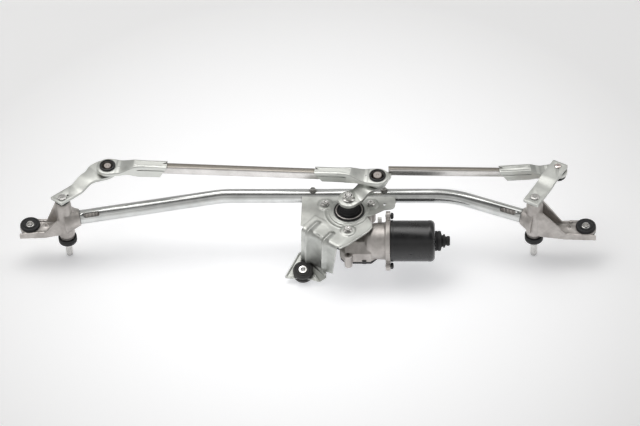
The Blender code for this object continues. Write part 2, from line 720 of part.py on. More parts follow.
def tube_clearance(gap=0.25 * MM):
    """Room for the frame tube, to cut from what stands close to it."""
    return rod_between("tube_room", (-10 * MM, TUBE_Y, TUBE_Z), (160 * MM, TUBE_Y, TUBE_Z), TUBE_RADIUS + gap,
                       count=32)


def build_saddle():
    """The rolled flange that carries the tube, from the plate's far edge round under the tube."""
    far = TUBE_Y + TUBE_RADIUS + 10 * MM
    start, end = (4.5 * MM, TUBE_Y, TUBE_Z), (144 * MM, TUBE_Y, TUBE_Z)
    roll = rod_between("saddle", start, end, TUBE_RADIUS + SADDLE_THICKNESS, count=32)
    above_near = box("above_near", (-5 * MM, -10 * MM, PLATE_TOP), (150 * MM, TUBE_Y, 130 * MM))
    above_far = box("above_far", (-6 * MM, TUBE_Y - 1 * MM, TUBE_Z - 2 * MM), (151 * MM, far, 131 * MM))
    return cut(roll, above_near, above_far)


def build_motor_plate():
    """Stamped bracket: a plate under the tube with a raised ring for the motor, and a leg with a foot."""
    outline = [(4.5, 34), (4.5, -38), (15, -45), (57, -78), (64, -79), (76, -70), (106, -42), (111, -34),
               (110, -24), (103, -13), (112, -8.5), (128, 2), (138, 3.5), (144, 9)]
    outline = [(x * MM, y * MM) for x, y in outline]
    outline[0] = (4.5 * MM, PLATE_FAR_EDGE)
    outline.append((144 * MM, PLATE_FAR_EDGE))
    low = PLATE_TOP - PLATE_THICKNESS
    plate = prism("motor_plate", outline[::-1], low, PLATE_TOP)
    raised = prism("raised", circle(28.5 * MM, 40, MOTOR_AXIS), low + 0.5 * MM, PLATE_BOSS_TOP)
    pads = [cylinder("pad", 10.5 * MM, low + 0.7 * MM, BOLT_PAD_TOP, bolt, count=20) for bolt in BOLTS]
    plate = join(plate, raised, *pads)
    under = prism("under", circle(25.5 * MM, 40, MOTOR_AXIS), low - 5 * MM, PLATE_BOSS_TOP - PLATE_THICKNESS)
    seats = [cylinder("seat", 7.2 * MM, BOLT_PAD_TOP, PLATE_BOSS_TOP + 5 * MM, bolt, count=20) for bolt in BOLTS]
    plate = join(cut(plate, under, *seats), build_saddle())
    plate = cut(plate, tube_clearance(0.1 * MM))
    plate = join(plate, build_leg(), *build_leg_ribs(), build_foot_pad())
    holes = [cylinder("motor_hole", 22.5 * MM, 60 * MM, 120 * MM, MOTOR_AXIS, count=36),
             cylinder("tab_hole", 2.2 * MM, 80 * MM, 100 * MM, Vector((128 * MM, 13 * MM, 0)), count=12)]
    holes += [cylinder("bolt_hole", 3.3 * MM, 60 * MM, 120 * MM, bolt, count=12) for bolt in BOLTS]
    holes += [cylinder("tube_hole", 3 * MM, 60 * MM, TUBE_Z, Vector((x, TUBE_Y, 0)), count=12)
              for x in TUBE_SCREW_X]
    tilt = Matrix.Translation(FOOT_CENTRE) @ Matrix.Rotation(FOOT_TILT, 4, "X")
    eye = cylinder("eye", 10.5 * MM, -20 * MM, 20 * MM, Vector((0, 0, 0)), count=28)
    eye.data.transform(tilt)
    return cut(plate, eye, *holes)


def folded_sheet(name, rows, thickness, inward):
    """A bent sheet: each row is the (left, right) pair of outer points at one level, in millimetres."""
    inward = Vector(inward).normalized() * thickness
    bm = bmesh.new()
    rings = []
    for left, right in rows:
        left, right = Vector(left) * MM, Vector(right) * MM
        rings.append([bm.verts.new(p) for p in (left, right, right + inward, left + inward)])
    for lower, upper in zip(rings, rings[1:]):
        for i in range(4):
            j = (i + 1) % 4
            bm.faces.new((lower[i], lower[j], upper[j], upper[i]))
    bm.faces.new(list(reversed(rings[0])))
    bm.faces.new(rings[-1])
    bmesh.ops.triangulate(bm, faces=bm.faces)
    return solid(name, bm)


def build_leg():
    """The leg below the plate: a steep stepped wall from the diagonal fold down to the foot."""
    rows = (
        ((6, -37, 91), (58.5, -76, 91)), ((5, -38, 78), (60, -78, 78)),
        ((4, -34, 74), (58, -73, 74)), ((4, -33, 52), (57, -71, 52)),
        ((4, -35, 48), (56, -73, 48)), ((2, -30, 16), (52, -55, 14)))
    return folded_sheet("leg", rows, 2 * MM, (0.35, 0.94, 0))


def build_leg_ribs():
    """Pressed ribs down the leg."""
    ribs = []
    for shift in (0.3, 0.7):
        top = Vector((5, -35, 87)).lerp(Vector((58, -74, 87)), shift)
        foot = Vector((3, -31, 22)).lerp(Vector((52, -58, 22)), shift)
        ribs.append(rod_between("rib", top * MM, foot * MM, 4.5 * MM, count=10))
    return ribs


def build_foot_pad():
    """The foot, tilted toward the motor side, that holds the third grommet."""
    outline = [(-25, -16), (-8, -19), (12, -19), (26, -10), (30, 4), (20, 16), (2, 20), (-6, 26), (-12, 14)]
    pad = prism("pad", [(x * MM, y * MM) for x, y in outline], -PLATE_THICKNESS / 2, PLATE_THICKNESS / 2)
    pad.data.transform(Matrix.Translation(FOOT_CENTRE) @ Matrix.Rotation(FOOT_TILT, 4, "X"))
    return pad


# ---- Gear motor ----

def build_gear_housing():
    """Cast housing: gear bowl, worm tunnel, motor flange and the rim that pokes through the plate."""
    slot = "cast_aluminium"
    roof = PLATE_BOSS_TOP - PLATE_THICKNESS - GAP
    bowl = cylinder("gear_housing", 33 * MM, COVER_TOP, 86 * MM, MOTOR_AXIS, slot, 36)
    crown = prism("crown", circle(24.5 * MM, 40, MOTOR_AXIS), 84 * MM, roof, slot)
    rim = cylinder("rim", BOSS_RIM_RADIUS, 85 * MM, BOSS_RIM_TOP, MOTOR_AXIS, slot, 36)
    block = prism("block", [(62 * MM, -20 * MM), (62 * MM, -50 * MM), (70 * MM, -60 * MM), (110 * MM, -60 * MM),
                            (120 * MM, -50 * MM), (120 * MM, -14 * MM)], COVER_TOP + 0.1 * MM, 70 * MM, slot)
    neck = rod_between("neck", (118.4 * MM, CAN_Y, CAN_Z), (FLANGE_START + 1 * MM, CAN_Y, CAN_Z), 26 * MM, slot, 32)
    flange = rod_between("flange", (FLANGE_START, CAN_Y, CAN_Z), (CAN_START - GAP, CAN_Y, CAN_Z), 32.5 * MM, slot,
                         36)
    tower = cylinder("tower", 6 * MM, 38 * MM, 62 * MM, TOWER_SPOT, slot, 20)
    tools = [crown, rim, block, neck, flange, tower]
    reach = FLANGE_EAR / sqrt(2)
    for sign in (1, -1):
        y, z = CAN_Y + sign * reach, CAN_Z + sign * reach
        tools.append(rod_between("lug", (FLANGE_START + 0.2 * MM, y, z), (CAN_START - 0.5 * MM, y, z), 7 * MM, slot, 20))
    for spot in BOLTS:
        tools.append(cylinder("post", 7 * MM, 60 * MM, PLATE_TOP - PLATE_THICKNESS - GAP, spot, slot, 16))
        inner = MOTOR_AXIS.lerp(spot, 0.5)
        tools.append(cylinder("bridge", 12 * MM, 63 * MM, 83 * MM, inner, slot, 16))
    housing = join(bowl, *tools)
    cutters = [
        cylinder("gear_room", 26 * MM, COVER_TOP - 5 * MM, 80 * MM, MOTOR_AXIS, count=36),
        cylinder("shaft_bore", 8.2 * MM, 70 * MM, 110 * MM, MOTOR_AXIS, count=24),
        tube_clearance(SADDLE_THICKNESS + 0.35 * MM),
        cylinder("seal_seat", 19 * MM, 90 * MM, 110 * MM, MOTOR_AXIS, count=28),
        rod_between("worm_bore", (64 * MM, CAN_Y, CAN_Z), (CAN_START + 5 * MM, CAN_Y, CAN_Z), 7 * MM, count=20),
        rod_between("brush_room", (118 * MM, CAN_Y, CAN_Z), (CAN_START + 5 * MM, CAN_Y, CAN_Z), 23 * MM, count=28),
        cylinder("tower_hole", 2.5 * MM, 30 * MM, 70 * MM, TOWER_SPOT, count=12),
        cylinder("cover_hole", 1.9 * MM, COVER_TOP - 5 * MM, 56 * MM, Vector((104 * MM, -53 * MM, 0)), count=12)]
    for bolt in BOLTS:
        cutters.append(cylinder("bolt_hole", 3.2 * MM, 66 * MM, 120 * MM, bolt, count=12))
    for sign in (1, -1):
        y, z = CAN_Y + sign * reach, CAN_Z + sign * reach
        cutters.append(rod_between("lug_hole", (120 * MM, y, z), (150 * MM, y, z), 2.7 * MM, count=12))
    return cut(housing, *cutters)


def build_gear_cover():
    slot = "black_plastic"
    low = COVER_TOP - COVER_THICKNESS
    high = COVER_TOP - GAP
    disc = cylinder("gear_cover", 32 * MM, low, high, MOTOR_AXIS, slot, 32)
    tongue = prism("tongue", [(62 * MM, -20 * MM), (63 * MM, -50 * MM), (71 * MM, -59 * MM), (109 * MM, -59 * MM),
                              (117.5 * MM, -50 * MM), (117.5 * MM, -14 * MM)], low + 0.1 * MM, high - 0.1 * MM, slot)
    cover = join(disc, tongue, build_connector_shell())
    return cut(cover,
               cylinder("tower_gap", 6.4 * MM, 30 * MM, 60 * MM, TOWER_SPOT, count=20),
               cylinder("screw_gap", 2.3 * MM, 30 * MM, 60 * MM, Vector((104 * MM, -53 * MM, 0)), count=12),
               box("connector_mouth", (56.3 * MM, 31 * MM, 28.8 * MM), (83.7 * MM, 55 * MM, 41.4 * MM)))


def build_connector_shell():
    """Socket of the electrical connector, moulded on the far side of the cover."""
    return box("connector", (54 * MM, 20 * MM, 26.5 * MM), (86 * MM, 50 * MM, COVER_TOP - GAP - 0.1 * MM),
               "black_plastic")


def build_connector_pins():
    """Terminal blades in the connector, on one carrier bar."""
    bar = box("connector_pins", (58 * MM, 31.2 * MM, 30 * MM), (82 * MM, 33 * MM, 36 * MM), "copper")
    blades = [box("blade", (x * MM, 32 * MM, 31.5 * MM), ((x + 1.5) * MM, 42 * MM, 35 * MM)) for x in (61, 67, 73, 79)]
    return join(bar, *blades)


def x_turned(name, profile, slot, count=40):
    """Turn a profile of (radius, x) points about the motor can's axis."""
    return turned(name, profile, Vector((0, CAN_Y, CAN_Z)), slot, count, axis="X")


def build_motor_can():
    wall = 1.8 * MM
    corner = 7 * MM
    outer = [(CAN_RADIUS - corner + corner * cos(a), CAN_END - corner + corner * sin(a))
             for a in (0, pi / 6, pi / 3, pi / 2)]
    inner = [(CAN_RADIUS - corner + (corner - wall) * cos(a), CAN_END - corner + (corner - wall) * sin(a))
             for a in (pi / 2, pi / 4, 0)]
    profile = [(0, CAN_END), *outer[::-1], (CAN_RADIUS, CAN_START), (CAN_RADIUS - wall, CAN_START),
               *inner[::-1], (0, CAN_END - wall)]
    return x_turned("motor_can", profile, "black_paint", 36)


def build_can_boot():
    start = CAN_END + GAP
    profile = [(0, start), (15 * MM, start), (15 * MM, start + 7 * MM), (13.5 * MM, start + 9 * MM),
               (8 * MM, start + 10 * MM), (7 * MM, start + 13 * MM), (6.5 * MM, start + 20 * MM),
               (5 * MM, start + 22 * MM), (0, start + 22 * MM)]
    return x_turned("can_boot", profile, "black_rubber", 24)


def build_magnet(name, middle):
    """One ferrite shell of the motor's field."""
    half = radians(66)
    inner, outer = 25.6 * MM, CAN_RADIUS - 2.1 * MM
    outline = circle(outer, 13, (0, 0), middle - half, 2 * half)
    outline += circle(inner, 13, (0, 0), middle + half, -2 * half)
    sections = [[Vector((x, CAN_Y + a, CAN_Z + b)) for a, b in outline] for x in (151 * MM, 189 * MM)]
    return loft(name, sections, "magnet")


def build_worm_shaft():
    """Armature shaft with a single-start worm cut near its free end."""
    body = x_turned("worm_shaft", [(0, 66 * MM), (3 * MM, 66 * MM), (3.4 * MM, 68 * MM), (3.4 * MM, 192 * MM),
                                   (3 * MM, 194 * MM), (0, 194 * MM)], "bright_steel", 16)
    sections = []
    turns, per_turn = 7, 6
    for i in range(turns * per_turn + 1):
        x = 68 * MM + 34 * MM * i / (turns * per_turn)
        phase = 2 * pi * i / per_turn
        centre = (CAN_Y + 0.6 * MM * cos(phase), CAN_Z + 0.6 * MM * sin(phase))
        sections.append([Vector((x, a, b)) for a, b in circle(4.4 * MM, 8, centre)])
    return join(body, loft("thread", sections, "bright_steel"))


def build_armature_core():
    """Laminated core and windings with the slots between poles."""
    outline = []
    poles = 12
    for i in range(poles):
        middle = 2 * pi * i / poles
        outline += circle(24.8 * MM, 4, (0, 0), middle - radians(11), radians(22))
        outline += circle(19 * MM, 2, (0, 0), middle + radians(12.5), radians(5))
    sections = [[Vector((x, CAN_Y + a, CAN_Z + b)) for a, b in outline] for x in (154 * MM, 186 * MM)]
    core = loft("armature_core", sections, "copper")
    return cut(core, rod_between("bore", (150 * MM, CAN_Y, CAN_Z), (190 * MM, CAN_Y, CAN_Z), 3.7 * MM, count=16))


def build_commutator():
    return x_turned("commutator", [(3.7 * MM, 139 * MM), (10 * MM, 139 * MM), (10 * MM, 152 * MM),
                                   (3.7 * MM, 152 * MM)], "copper", 24)


def build_brush_plate():
    """Insulating plate in the flange's recess that carries the two brushes."""
    plate = x_turned("brush_plate", [(12 * MM, 133 * MM), (22.5 * MM, 133 * MM), (22.5 * MM, 136 * MM),
                                     (12 * MM, 136 * MM)], "black_plastic", 32)
    holders = []
    for sign in (1, -1):
        low, high = sorted((CAN_Y + sign * 13 * MM, CAN_Y + sign * 21 * MM))
        holders.append(box("holder", (135 * MM, low, CAN_Z - 5 * MM), (149 * MM, high, CAN_Z + 5 * MM)))
    return join(plate, *holders)


def build_worm_gear():
    outline = []
    for i in range(GEAR_TEETH * 2):
        radius = GEAR_RADIUS - (1.6 * MM if i % 2 else 0)
        outline.append((MOTOR_X + radius * cos(pi * i / GEAR_TEETH), MOTOR_Y + radius * sin(pi * i / GEAR_TEETH)))
    gear = prism("worm_gear", outline, CAN_Z - 6 * MM, CAN_Z + 6 * MM, "gear_plastic")
    return cut(gear, cylinder("bore", 6.3 * MM, 40 * MM, 80 * MM, MOTOR_AXIS, count=20))


def build_output_shaft():
    """Shaft from the gear to the crank: collar under the gear, thread for the crank nut."""
    profile = [(0, 50 * MM), (9 * MM, 50 * MM), (9 * MM, 54 * MM), (6 * MM, 54.1 * MM), (6 * MM, 112 * MM),
               (5 * MM, 114.5 * MM), (5 * MM, 128 * MM), (4.2 * MM, 129 * MM), (0, 129 * MM)]
    return turned("output_shaft", profile, MOTOR_AXIS, "bright_steel", 20)


def build_output_bush():
    profile = [(6.1 * MM, 70.5 * MM), (8 * MM, 70.5 * MM), (8 * MM, 89.5 * MM), (6.1 * MM, 89.5 * MM)]
    return turned("output_bush", profile, MOTOR_AXIS, "bronze", 20)


def build_output_seal():
    """Rubber boot between the housing's rim and the output shaft, under the crank."""
    profile = [(6.4 * MM, 90.4 * MM), (18.6 * MM, 90.4 * MM), (18.6 * MM, 96 * MM), (15.5 * MM, 97.2 * MM),
               (11 * MM, 105 * MM), (9.5 * MM, 110 * MM), (6.4 * MM, 110.5 * MM)]
    return cut(turned("output_seal", profile, MOTOR_AXIS, "black_rubber", 28), tube_clearance())


# ---- Fasteners ----

def flange_head(name, centre, seat, flats, flange, height, slot="zinc_steel"):
    """Hexagon head with its flange, seated at this height."""
    skirt = turned(name, [(0, seat), (flange, seat), (flange, seat + 1 * MM), (flats * 0.52, seat + 2 * MM),
                          (0, seat + 2 * MM)], centre, slot, 18)
    head = prism("head", hex_outline(flats, centre), seat + 1 * MM, seat + height, slot)
    return join(skirt, head)


def build_motor_bolt(name, centre):
    seat = BOLT_PAD_TOP + 0.1 * MM
    head = flange_head(name, centre, seat, 8 * MM, 6.2 * MM, 4.6 * MM)
    shank = cylinder("shank", 2.9 * MM, 72 * MM, seat + 1 * MM, centre, count=10)
    return join(head, shank)


def build_crank_nut():
    nut = flange_head("crank_nut", MOTOR_AXIS, LEVER_PLANE + GAP, 13 * MM, 9 * MM, 7.5 * MM)
    return cut(nut, cylinder("thread", 5.25 * MM, 110 * MM, 140 * MM, MOTOR_AXIS, count=18))


def build_tube_screw(name, x):
    """Screw down through the tube into the bracket, with a low domed head."""
    centre = Vector((x, TUBE_Y, 0))
    seat = TUBE_Z + TUBE_RADIUS + GAP
    foot = TUBE_Z - TUBE_RADIUS - 5 * MM
    profile = [(0, foot), (2.6 * MM, foot), (2.6 * MM, seat), (5.4 * MM, seat), (5.4 * MM, seat + 1 * MM),
               (4.2 * MM, seat + 3.2 * MM), (2.4 * MM, seat + 4.2 * MM), (0, seat + 4.2 * MM)]
    return turned(name, profile, centre, "dull_zinc", 16)


def build_can_screw(name, sign):
    reach = sign * FLANGE_EAR / sqrt(2)
    y, z = CAN_Y + reach, CAN_Z + reach
    centre = Vector((0, y, z))
    profile = [(0, 126 * MM), (2.4 * MM, 126 * MM), (2.4 * MM, CAN_START), (5 * MM, CAN_START),
               (5 * MM, CAN_START + 3 * MM), (3.4 * MM, CAN_START + 4.4 * MM), (0, CAN_START + 4.4 * MM)]
    return turned(name, profile, centre, "black_paint", 16, axis="X")


def build_cover_screw():
    centre = Vector((104 * MM, -53 * MM, 0))
    low = COVER_TOP - COVER_THICKNESS
    profile = [(0, low - 2.6 * MM), (3.2 * MM, low - 2.4 * MM), (3.6 * MM, low - GAP), (1.6 * MM, low - GAP),
               (1.6 * MM, 54 * MM), (0, 54 * MM)]
    return turned("cover_screw", profile, centre, "dull_zinc", 14)


# ---- Assembly ----

def build_fixed_frame():
    corners = tube_corners()
    build_frame_tube()
    build_housing("left_pivot_housing", LEFT_PIVOT, -1, LEFT_EAR_REACH, LEFT_NECK_Z, LEFT_BARREL_FOOT,
                  TUBE_LEFT_END, (corners[0], corners[1]))
    build_housing("right_pivot_housing", RIGHT_PIVOT, 1, RIGHT_EAR_REACH, RIGHT_NECK_Z, RIGHT_BARREL_FOOT,
                  TUBE_RIGHT_END, (corners[3], corners[2]))
    for side, pivot, foot in (("left", LEFT_PIVOT, LEFT_BARREL_FOOT), ("right", RIGHT_PIVOT, RIGHT_BARREL_FOOT)):
        build_bush(side + "_pivot_bush", pivot, foot)
        build_shaft_seal(side + "_shaft_seal", pivot, foot)
    build_motor_plate()
    mounts = (("left", ear_centre(LEFT_PIVOT, -1, LEFT_EAR_REACH), EAR_GROMMET_HEIGHT, 0.0),
              ("right", ear_centre(RIGHT_PIVOT, 1, RIGHT_EAR_REACH), EAR_GROMMET_HEIGHT, 0.0),
              ("foot", FOOT_CENTRE, FOOT_GROMMET_HEIGHT, FOOT_TILT))
    for place, centre, height, tilt in mounts:
        build_grommet(place + "_grommet", centre, height, tilt)
        build_sleeve(place + "_sleeve", centre, height, tilt)
    for side, x in zip(("left", "right"), TUBE_SCREW_X):
        build_tube_screw(side + "_tube_screw", x)


def build_motor():
    build_gear_housing()
    build_gear_cover()
    build_connector_pins()
    build_motor_can()
    build_can_boot()
    build_magnet("front_magnet", pi)
    build_magnet("rear_magnet", 0)
    build_brush_plate()
    build_output_bush()
    build_output_seal()
    for number, bolt in enumerate(BOLTS, 1):
        build_motor_bolt("motor_bolt_%d" % number, bolt)
    build_can_screw("upper_can_screw", 1)
    build_can_screw("lower_can_screw", -1)
    build_cover_screw()


def build_armature():
    at = Vector((0, CAN_Y, CAN_Z))
    axis = hub("armature_axis", at)
    for piece in (build_worm_shaft(), build_armature_core(), build_commutator()):
        hang(piece, axis, at)


def build_crank():
    axis = hub("crank_axis", MOTOR_AXIS)
    deck = LEVER_PLANE + CRANK_RISE
    stud = build_ball_stud("crank_ball_stud", CRANK_PIN, deck, CRANK_THICKNESS, CRANK_BALL_RADIUS, CRANK_BALL_Z,
                           4.8 * MM, 4 * MM, 4 * MM)
    for piece in (build_output_shaft(), build_worm_gear(), build_crank_arm(), build_crank_nut(), stud):
        hang(piece, axis, MOTOR_AXIS)


def build_levers():
    left = hub("left_pivot_axis", LEFT_PIVOT)
    left_deck = LEVER_PLANE + LEFT_LEVER_RISE
    left_stud = build_ball_stud("left_ball_stud", LEFT_BALL, left_deck, LEVER_THICKNESS, BALL_RADIUS, LEFT_BALL_Z,
                                4.6 * MM, 3.5 * MM, 4 * MM)
    for piece in (build_left_lever(), build_shaft("left_pivot_shaft", LEFT_PIVOT, LEFT_BARREL_FOOT),
                  build_thrust_washer("left_thrust_washer", LEFT_PIVOT), left_stud):
        hang(piece, left, LEFT_PIVOT)
    right = hub("right_pivot_axis", RIGHT_PIVOT)
    right_deck = LEVER_PLANE + RIGHT_LEVER_RISE - LEVER_THICKNESS
    right_stud = build_ball_stud("right_ball_stud", RIGHT_BALL, right_deck, LEVER_THICKNESS, BALL_RADIUS,
                                 RIGHT_BALL_Z, 4.6 * MM, 3.5 * MM, 4 * MM, upward=-1)
    for piece in (build_right_lever(), build_shaft("right_pivot_shaft", RIGHT_PIVOT, RIGHT_BARREL_FOOT),
                  build_thrust_washer("right_thrust_washer", RIGHT_PIVOT), right_stud):
        hang(piece, right, RIGHT_PIVOT)
    return left, right


def build_left_link(lever_axis):
    frame = LinkFrame(LEFT_BALL, CRANK_PIN)
    fitting = {
        "length": 90 * MM, "eye": LINK_EYE_RADIUS, "eye_top": LINK_TOP, "shallow": 5.4 * MM,
        "rise_start": 22 * MM, "channel_top": LEFT_ROD_TOP + LINK_SHEET + GAP,
        "channel_bottom": 127.5 * MM, "half": LEFT_ROD_WIDTH / 2 + LINK_SHEET + GAP, "hole": 10.7 * MM}
    lever_end = build_fitting("left_link_lever_end", frame, 0, 1, fitting)
    fitting.update({"length": 93 * MM, "channel_bottom": 131.5 * MM, "hole": 11.5 * MM})
    crank_end = build_fitting("left_link_crank_end", frame, frame.length, -1, fitting)
    rod = build_rod("left_link_rod", frame, 78 * MM, frame.length - 80 * MM, LEFT_ROD_WIDTH, LEFT_ROD_HEIGHT,
                    LEFT_ROD_TOP)
    lever_socket = build_socket("left_link_lever_socket", LEFT_BALL, 8.7 * MM, 10.4 * MM, 11.8 * MM,
                                LINK_TOP - 7 * MM, LINK_TOP + SOCKET_RISE)
    crank_socket = build_socket("left_link_crank_socket", CRANK_PIN, 9.6 * MM, 11.2 * MM,
                                12.3 * MM, LINK_TOP - 5.4 * MM, LINK_TOP + SOCKET_RISE)
    axis = hub("left_link_axis", LEFT_BALL - LEFT_PIVOT)
    axis.parent = lever_axis
    for piece in (lever_end, crank_end, rod, lever_socket, crank_socket):
        hang(piece, axis, LEFT_BALL)


def build_right_link(lever_axis):
    rod_start = 18.5 * MM
    rod_offset = 16.4 * MM
    eye_top = 133 * MM
    end_top = RIGHT_BALL_Z + 5.2 * MM
    frame = LinkFrame(CRANK_PIN, RIGHT_BALL, RIGHT_ROD_SLOPE)
    base = RIGHT_ROD_TOP - RIGHT_ROD_SLOPE * rod_start
    channel_top = base + LINK_SHEET + GAP
    fitting = {
        "length": 88 * MM, "eye": 14 * MM, "eye_top": end_top - RIGHT_ROD_SLOPE * frame.length,
        "shallow": 6 * MM, "rise_start": 28 * MM, "channel_top": channel_top,
        "channel_bottom": channel_top - RIGHT_ROD_HEIGHT - 5 * MM,
        "half": RIGHT_ROD_WIDTH / 2 + LINK_SHEET + 1.9 * MM, "hole": 11.3 * MM}
    lever_end = build_fitting("right_link_lever_end", frame, frame.length, -1, fitting)
    rod = build_rod("right_link_rod", frame, rod_start, frame.length - fitting["length"] + 12 * MM,
                    RIGHT_ROD_WIDTH, RIGHT_ROD_HEIGHT, base, sideways=(rod_offset, 0.3 * MM))
    eye_outline = circle(15.5 * MM, 15, CRANK_PIN, radians(100), radians(250))
    reach = [frame.point(d, s, 0) for d, s in ((26 * MM, 4 * MM), (26 * MM, 10.6 * MM), (17.8 * MM, 10.8 * MM),
                                               (17.8 * MM, 13.5 * MM))]
    eye_outline += [(p.x, p.y) for p in reach]
    eye = prism("right_link_crank_eye", eye_outline, eye_top - 3 * MM, eye_top)
    lever_socket = build_socket("right_link_lever_socket", RIGHT_BALL, 9.8 * MM, 11 * MM, 12.3 * MM,
                                end_top - 1.5 * MM, end_top - 13 * MM, upward=-1)
    bush = turned("right_link_crank_socket", [(8.9 * MM, 129.5 * MM), (10.3 * MM, 129.5 * MM),
                                              (10.3 * MM, 133.2 * MM), (8.9 * MM, 133.2 * MM)], CRANK_PIN,
                  "black_plastic", 32)
    eye = cut(eye, cylinder("hole", 10.6 * MM, 120 * MM, 140 * MM, CRANK_PIN, count=32))
    axis = hub("right_link_axis", RIGHT_BALL - RIGHT_PIVOT)
    axis.parent = lever_axis
    for piece in (lever_end, rod, eye, lever_socket, bush):
        hang(piece, axis, RIGHT_BALL)


def recentre():
    """Put the origin under the middle of the assembly, on the ground."""
    bpy.context.view_layer.update()
    corners = []
    for piece in bpy.data.objects:
        if piece.type == "MESH":
            corners += [piece.matrix_world @ vertex.co for vertex in piece.data.vertices]
    low = Vector([min(c[i] for c in corners) for i in range(3)])
    high = Vector([max(c[i] for c in corners) for i in range(3)])
    shift = Vector((-(low.x + high.x) / 2, -(low.y + high.y) / 2, -low.z))
    for piece in bpy.data.objects:
        if piece.parent is None:
            piece.location += shift


def build():
    clear_scene()
    build_fixed_frame()
    build_motor()
    build_armature()
    build_crank()
    left_axis, right_axis = build_levers()
    build_left_link(left_axis)
    build_right_link(right_axis)
    recentre()
    bpy.context.view_layer.update()


build()
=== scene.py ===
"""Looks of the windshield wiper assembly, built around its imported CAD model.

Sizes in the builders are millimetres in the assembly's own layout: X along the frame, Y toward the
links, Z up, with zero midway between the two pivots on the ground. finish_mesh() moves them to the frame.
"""
import json
from math import acos, asin, atan2, cos, pi, radians, sin, sqrt, tan

import bmesh
import bpy
from mathutils import Matrix, Vector


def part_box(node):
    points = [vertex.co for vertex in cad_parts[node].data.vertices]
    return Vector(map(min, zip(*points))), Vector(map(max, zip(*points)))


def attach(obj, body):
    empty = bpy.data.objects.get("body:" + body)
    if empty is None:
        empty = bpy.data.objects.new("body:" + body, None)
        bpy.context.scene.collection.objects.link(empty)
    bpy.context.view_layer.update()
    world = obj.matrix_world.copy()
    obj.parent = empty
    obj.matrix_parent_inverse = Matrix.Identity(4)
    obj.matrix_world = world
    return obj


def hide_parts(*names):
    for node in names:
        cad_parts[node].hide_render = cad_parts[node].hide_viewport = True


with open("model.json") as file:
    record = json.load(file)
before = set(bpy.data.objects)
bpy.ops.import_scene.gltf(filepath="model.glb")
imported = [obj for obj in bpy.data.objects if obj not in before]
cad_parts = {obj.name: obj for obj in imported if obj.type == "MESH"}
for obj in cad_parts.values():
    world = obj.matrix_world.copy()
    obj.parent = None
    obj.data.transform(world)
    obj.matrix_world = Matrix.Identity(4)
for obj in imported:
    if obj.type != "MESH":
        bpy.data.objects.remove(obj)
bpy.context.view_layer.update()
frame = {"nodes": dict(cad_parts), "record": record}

MM = 0.001
JOINTS = {joint["name"]: Vector(joint["pos_m"]) / MM for joint in frame["record"]["behaviour"]["joints"]}
MIDDLE = (JOINTS["left_pivot_hinge"] + JOINTS["right_pivot_hinge"]) / 2
MIDDLE.z = 0

# Places in the layout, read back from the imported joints.
LEFT_PIVOT = JOINTS["left_pivot_hinge"] - MIDDLE
RIGHT_PIVOT = JOINTS["right_pivot_hinge"] - MIDDLE
MOTOR = JOINTS["crank_hinge"] - MIDDLE
LEFT_BALL = JOINTS["left_link_hinge"] - MIDDLE
RIGHT_BALL = JOINTS["right_link_hinge"] - MIDDLE


def flat(point):
    return Vector((point.x, point.y, 0))


LEFT_PIVOT, RIGHT_PIVOT, MOTOR = flat(LEFT_PIVOT), flat(RIGHT_PIVOT), flat(MOTOR)
LEFT_BALL_Z, RIGHT_BALL_Z = LEFT_BALL.z, RIGHT_BALL.z
LEFT_BALL, RIGHT_BALL = flat(LEFT_BALL), flat(RIGHT_BALL)


def box_centre(node):
    low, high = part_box(node)
    return (Vector(low) + Vector(high)) / 2 / MM - MIDDLE


CRANK_PIN = flat(box_centre("crank_ball_stud"))
LEVER_PLANE = 120.0
DECK_RISE = 9.0
LINK_TOP = 140.0

# ---- Mesh helpers ----


def new_object(name, mesh):
    made = bpy.data.objects.new(name, mesh)
    bpy.context.collection.objects.link(made)
    return made


def finish_mesh(name, bm, angle=32):
    """Make an object from a bmesh in layout millimetres, placed in the frame in metres."""
    bmesh.ops.remove_doubles(bm, verts=bm.verts, dist=1e-4)
    bmesh.ops.recalc_face_normals(bm, faces=bm.faces)
    bmesh.ops.transform(bm, matrix=Matrix.Scale(MM, 4) @ Matrix.Translation(MIDDLE), verts=bm.verts)
    mesh = bpy.data.meshes.new(name)
    bm.to_mesh(mesh)
    bm.free()
    mesh.shade_smooth()
    mesh.set_sharp_from_angle(angle=radians(angle))
    return new_object(name, mesh)


def ring_faces(bm, rings, closed=False, caps=True):
    pairs = list(zip(rings, rings[1:]))
    if closed:
        pairs.append((rings[-1], rings[0]))
    for lower, upper in pairs:
        count = max(len(lower), len(upper))
        for i in range(count):
            j = (i + 1) % count
            corners = [lower[i % len(lower)], lower[j % len(lower)], upper[j % len(upper)],
                       upper[i % len(upper)]]
            corners = list(dict.fromkeys(corners))
            if len(corners) > 2:
                bm.faces.new(corners)
    if caps and not closed:
        for ring in (rings[0][::-1], rings[-1]):
            if len(ring) > 2:
                bm.faces.new(ring)


def loft(name, sections, closed=False, angle=32):
    bm = bmesh.new()
    rings = [[bm.verts.new(point) for point in section] for section in sections]
    ring_faces(bm, rings, closed)
    return finish_mesh(name, bm, angle)


def circle(radius, count=64, centre=(0, 0), start=0.0, sweep=2 * pi):
    steps = count if abs(sweep) > 2 * pi - 1e-6 else count - 1
    return [(centre[0] + radius * cos(start + sweep * i / steps),
             centre[1] + radius * sin(start + sweep * i / steps)) for i in range(count)]


def prism(name, outline, low, high, angle=32):
    return loft(name, [[Vector((p[0], p[1], z)) for p in outline] for z in (low, high)], angle=angle)


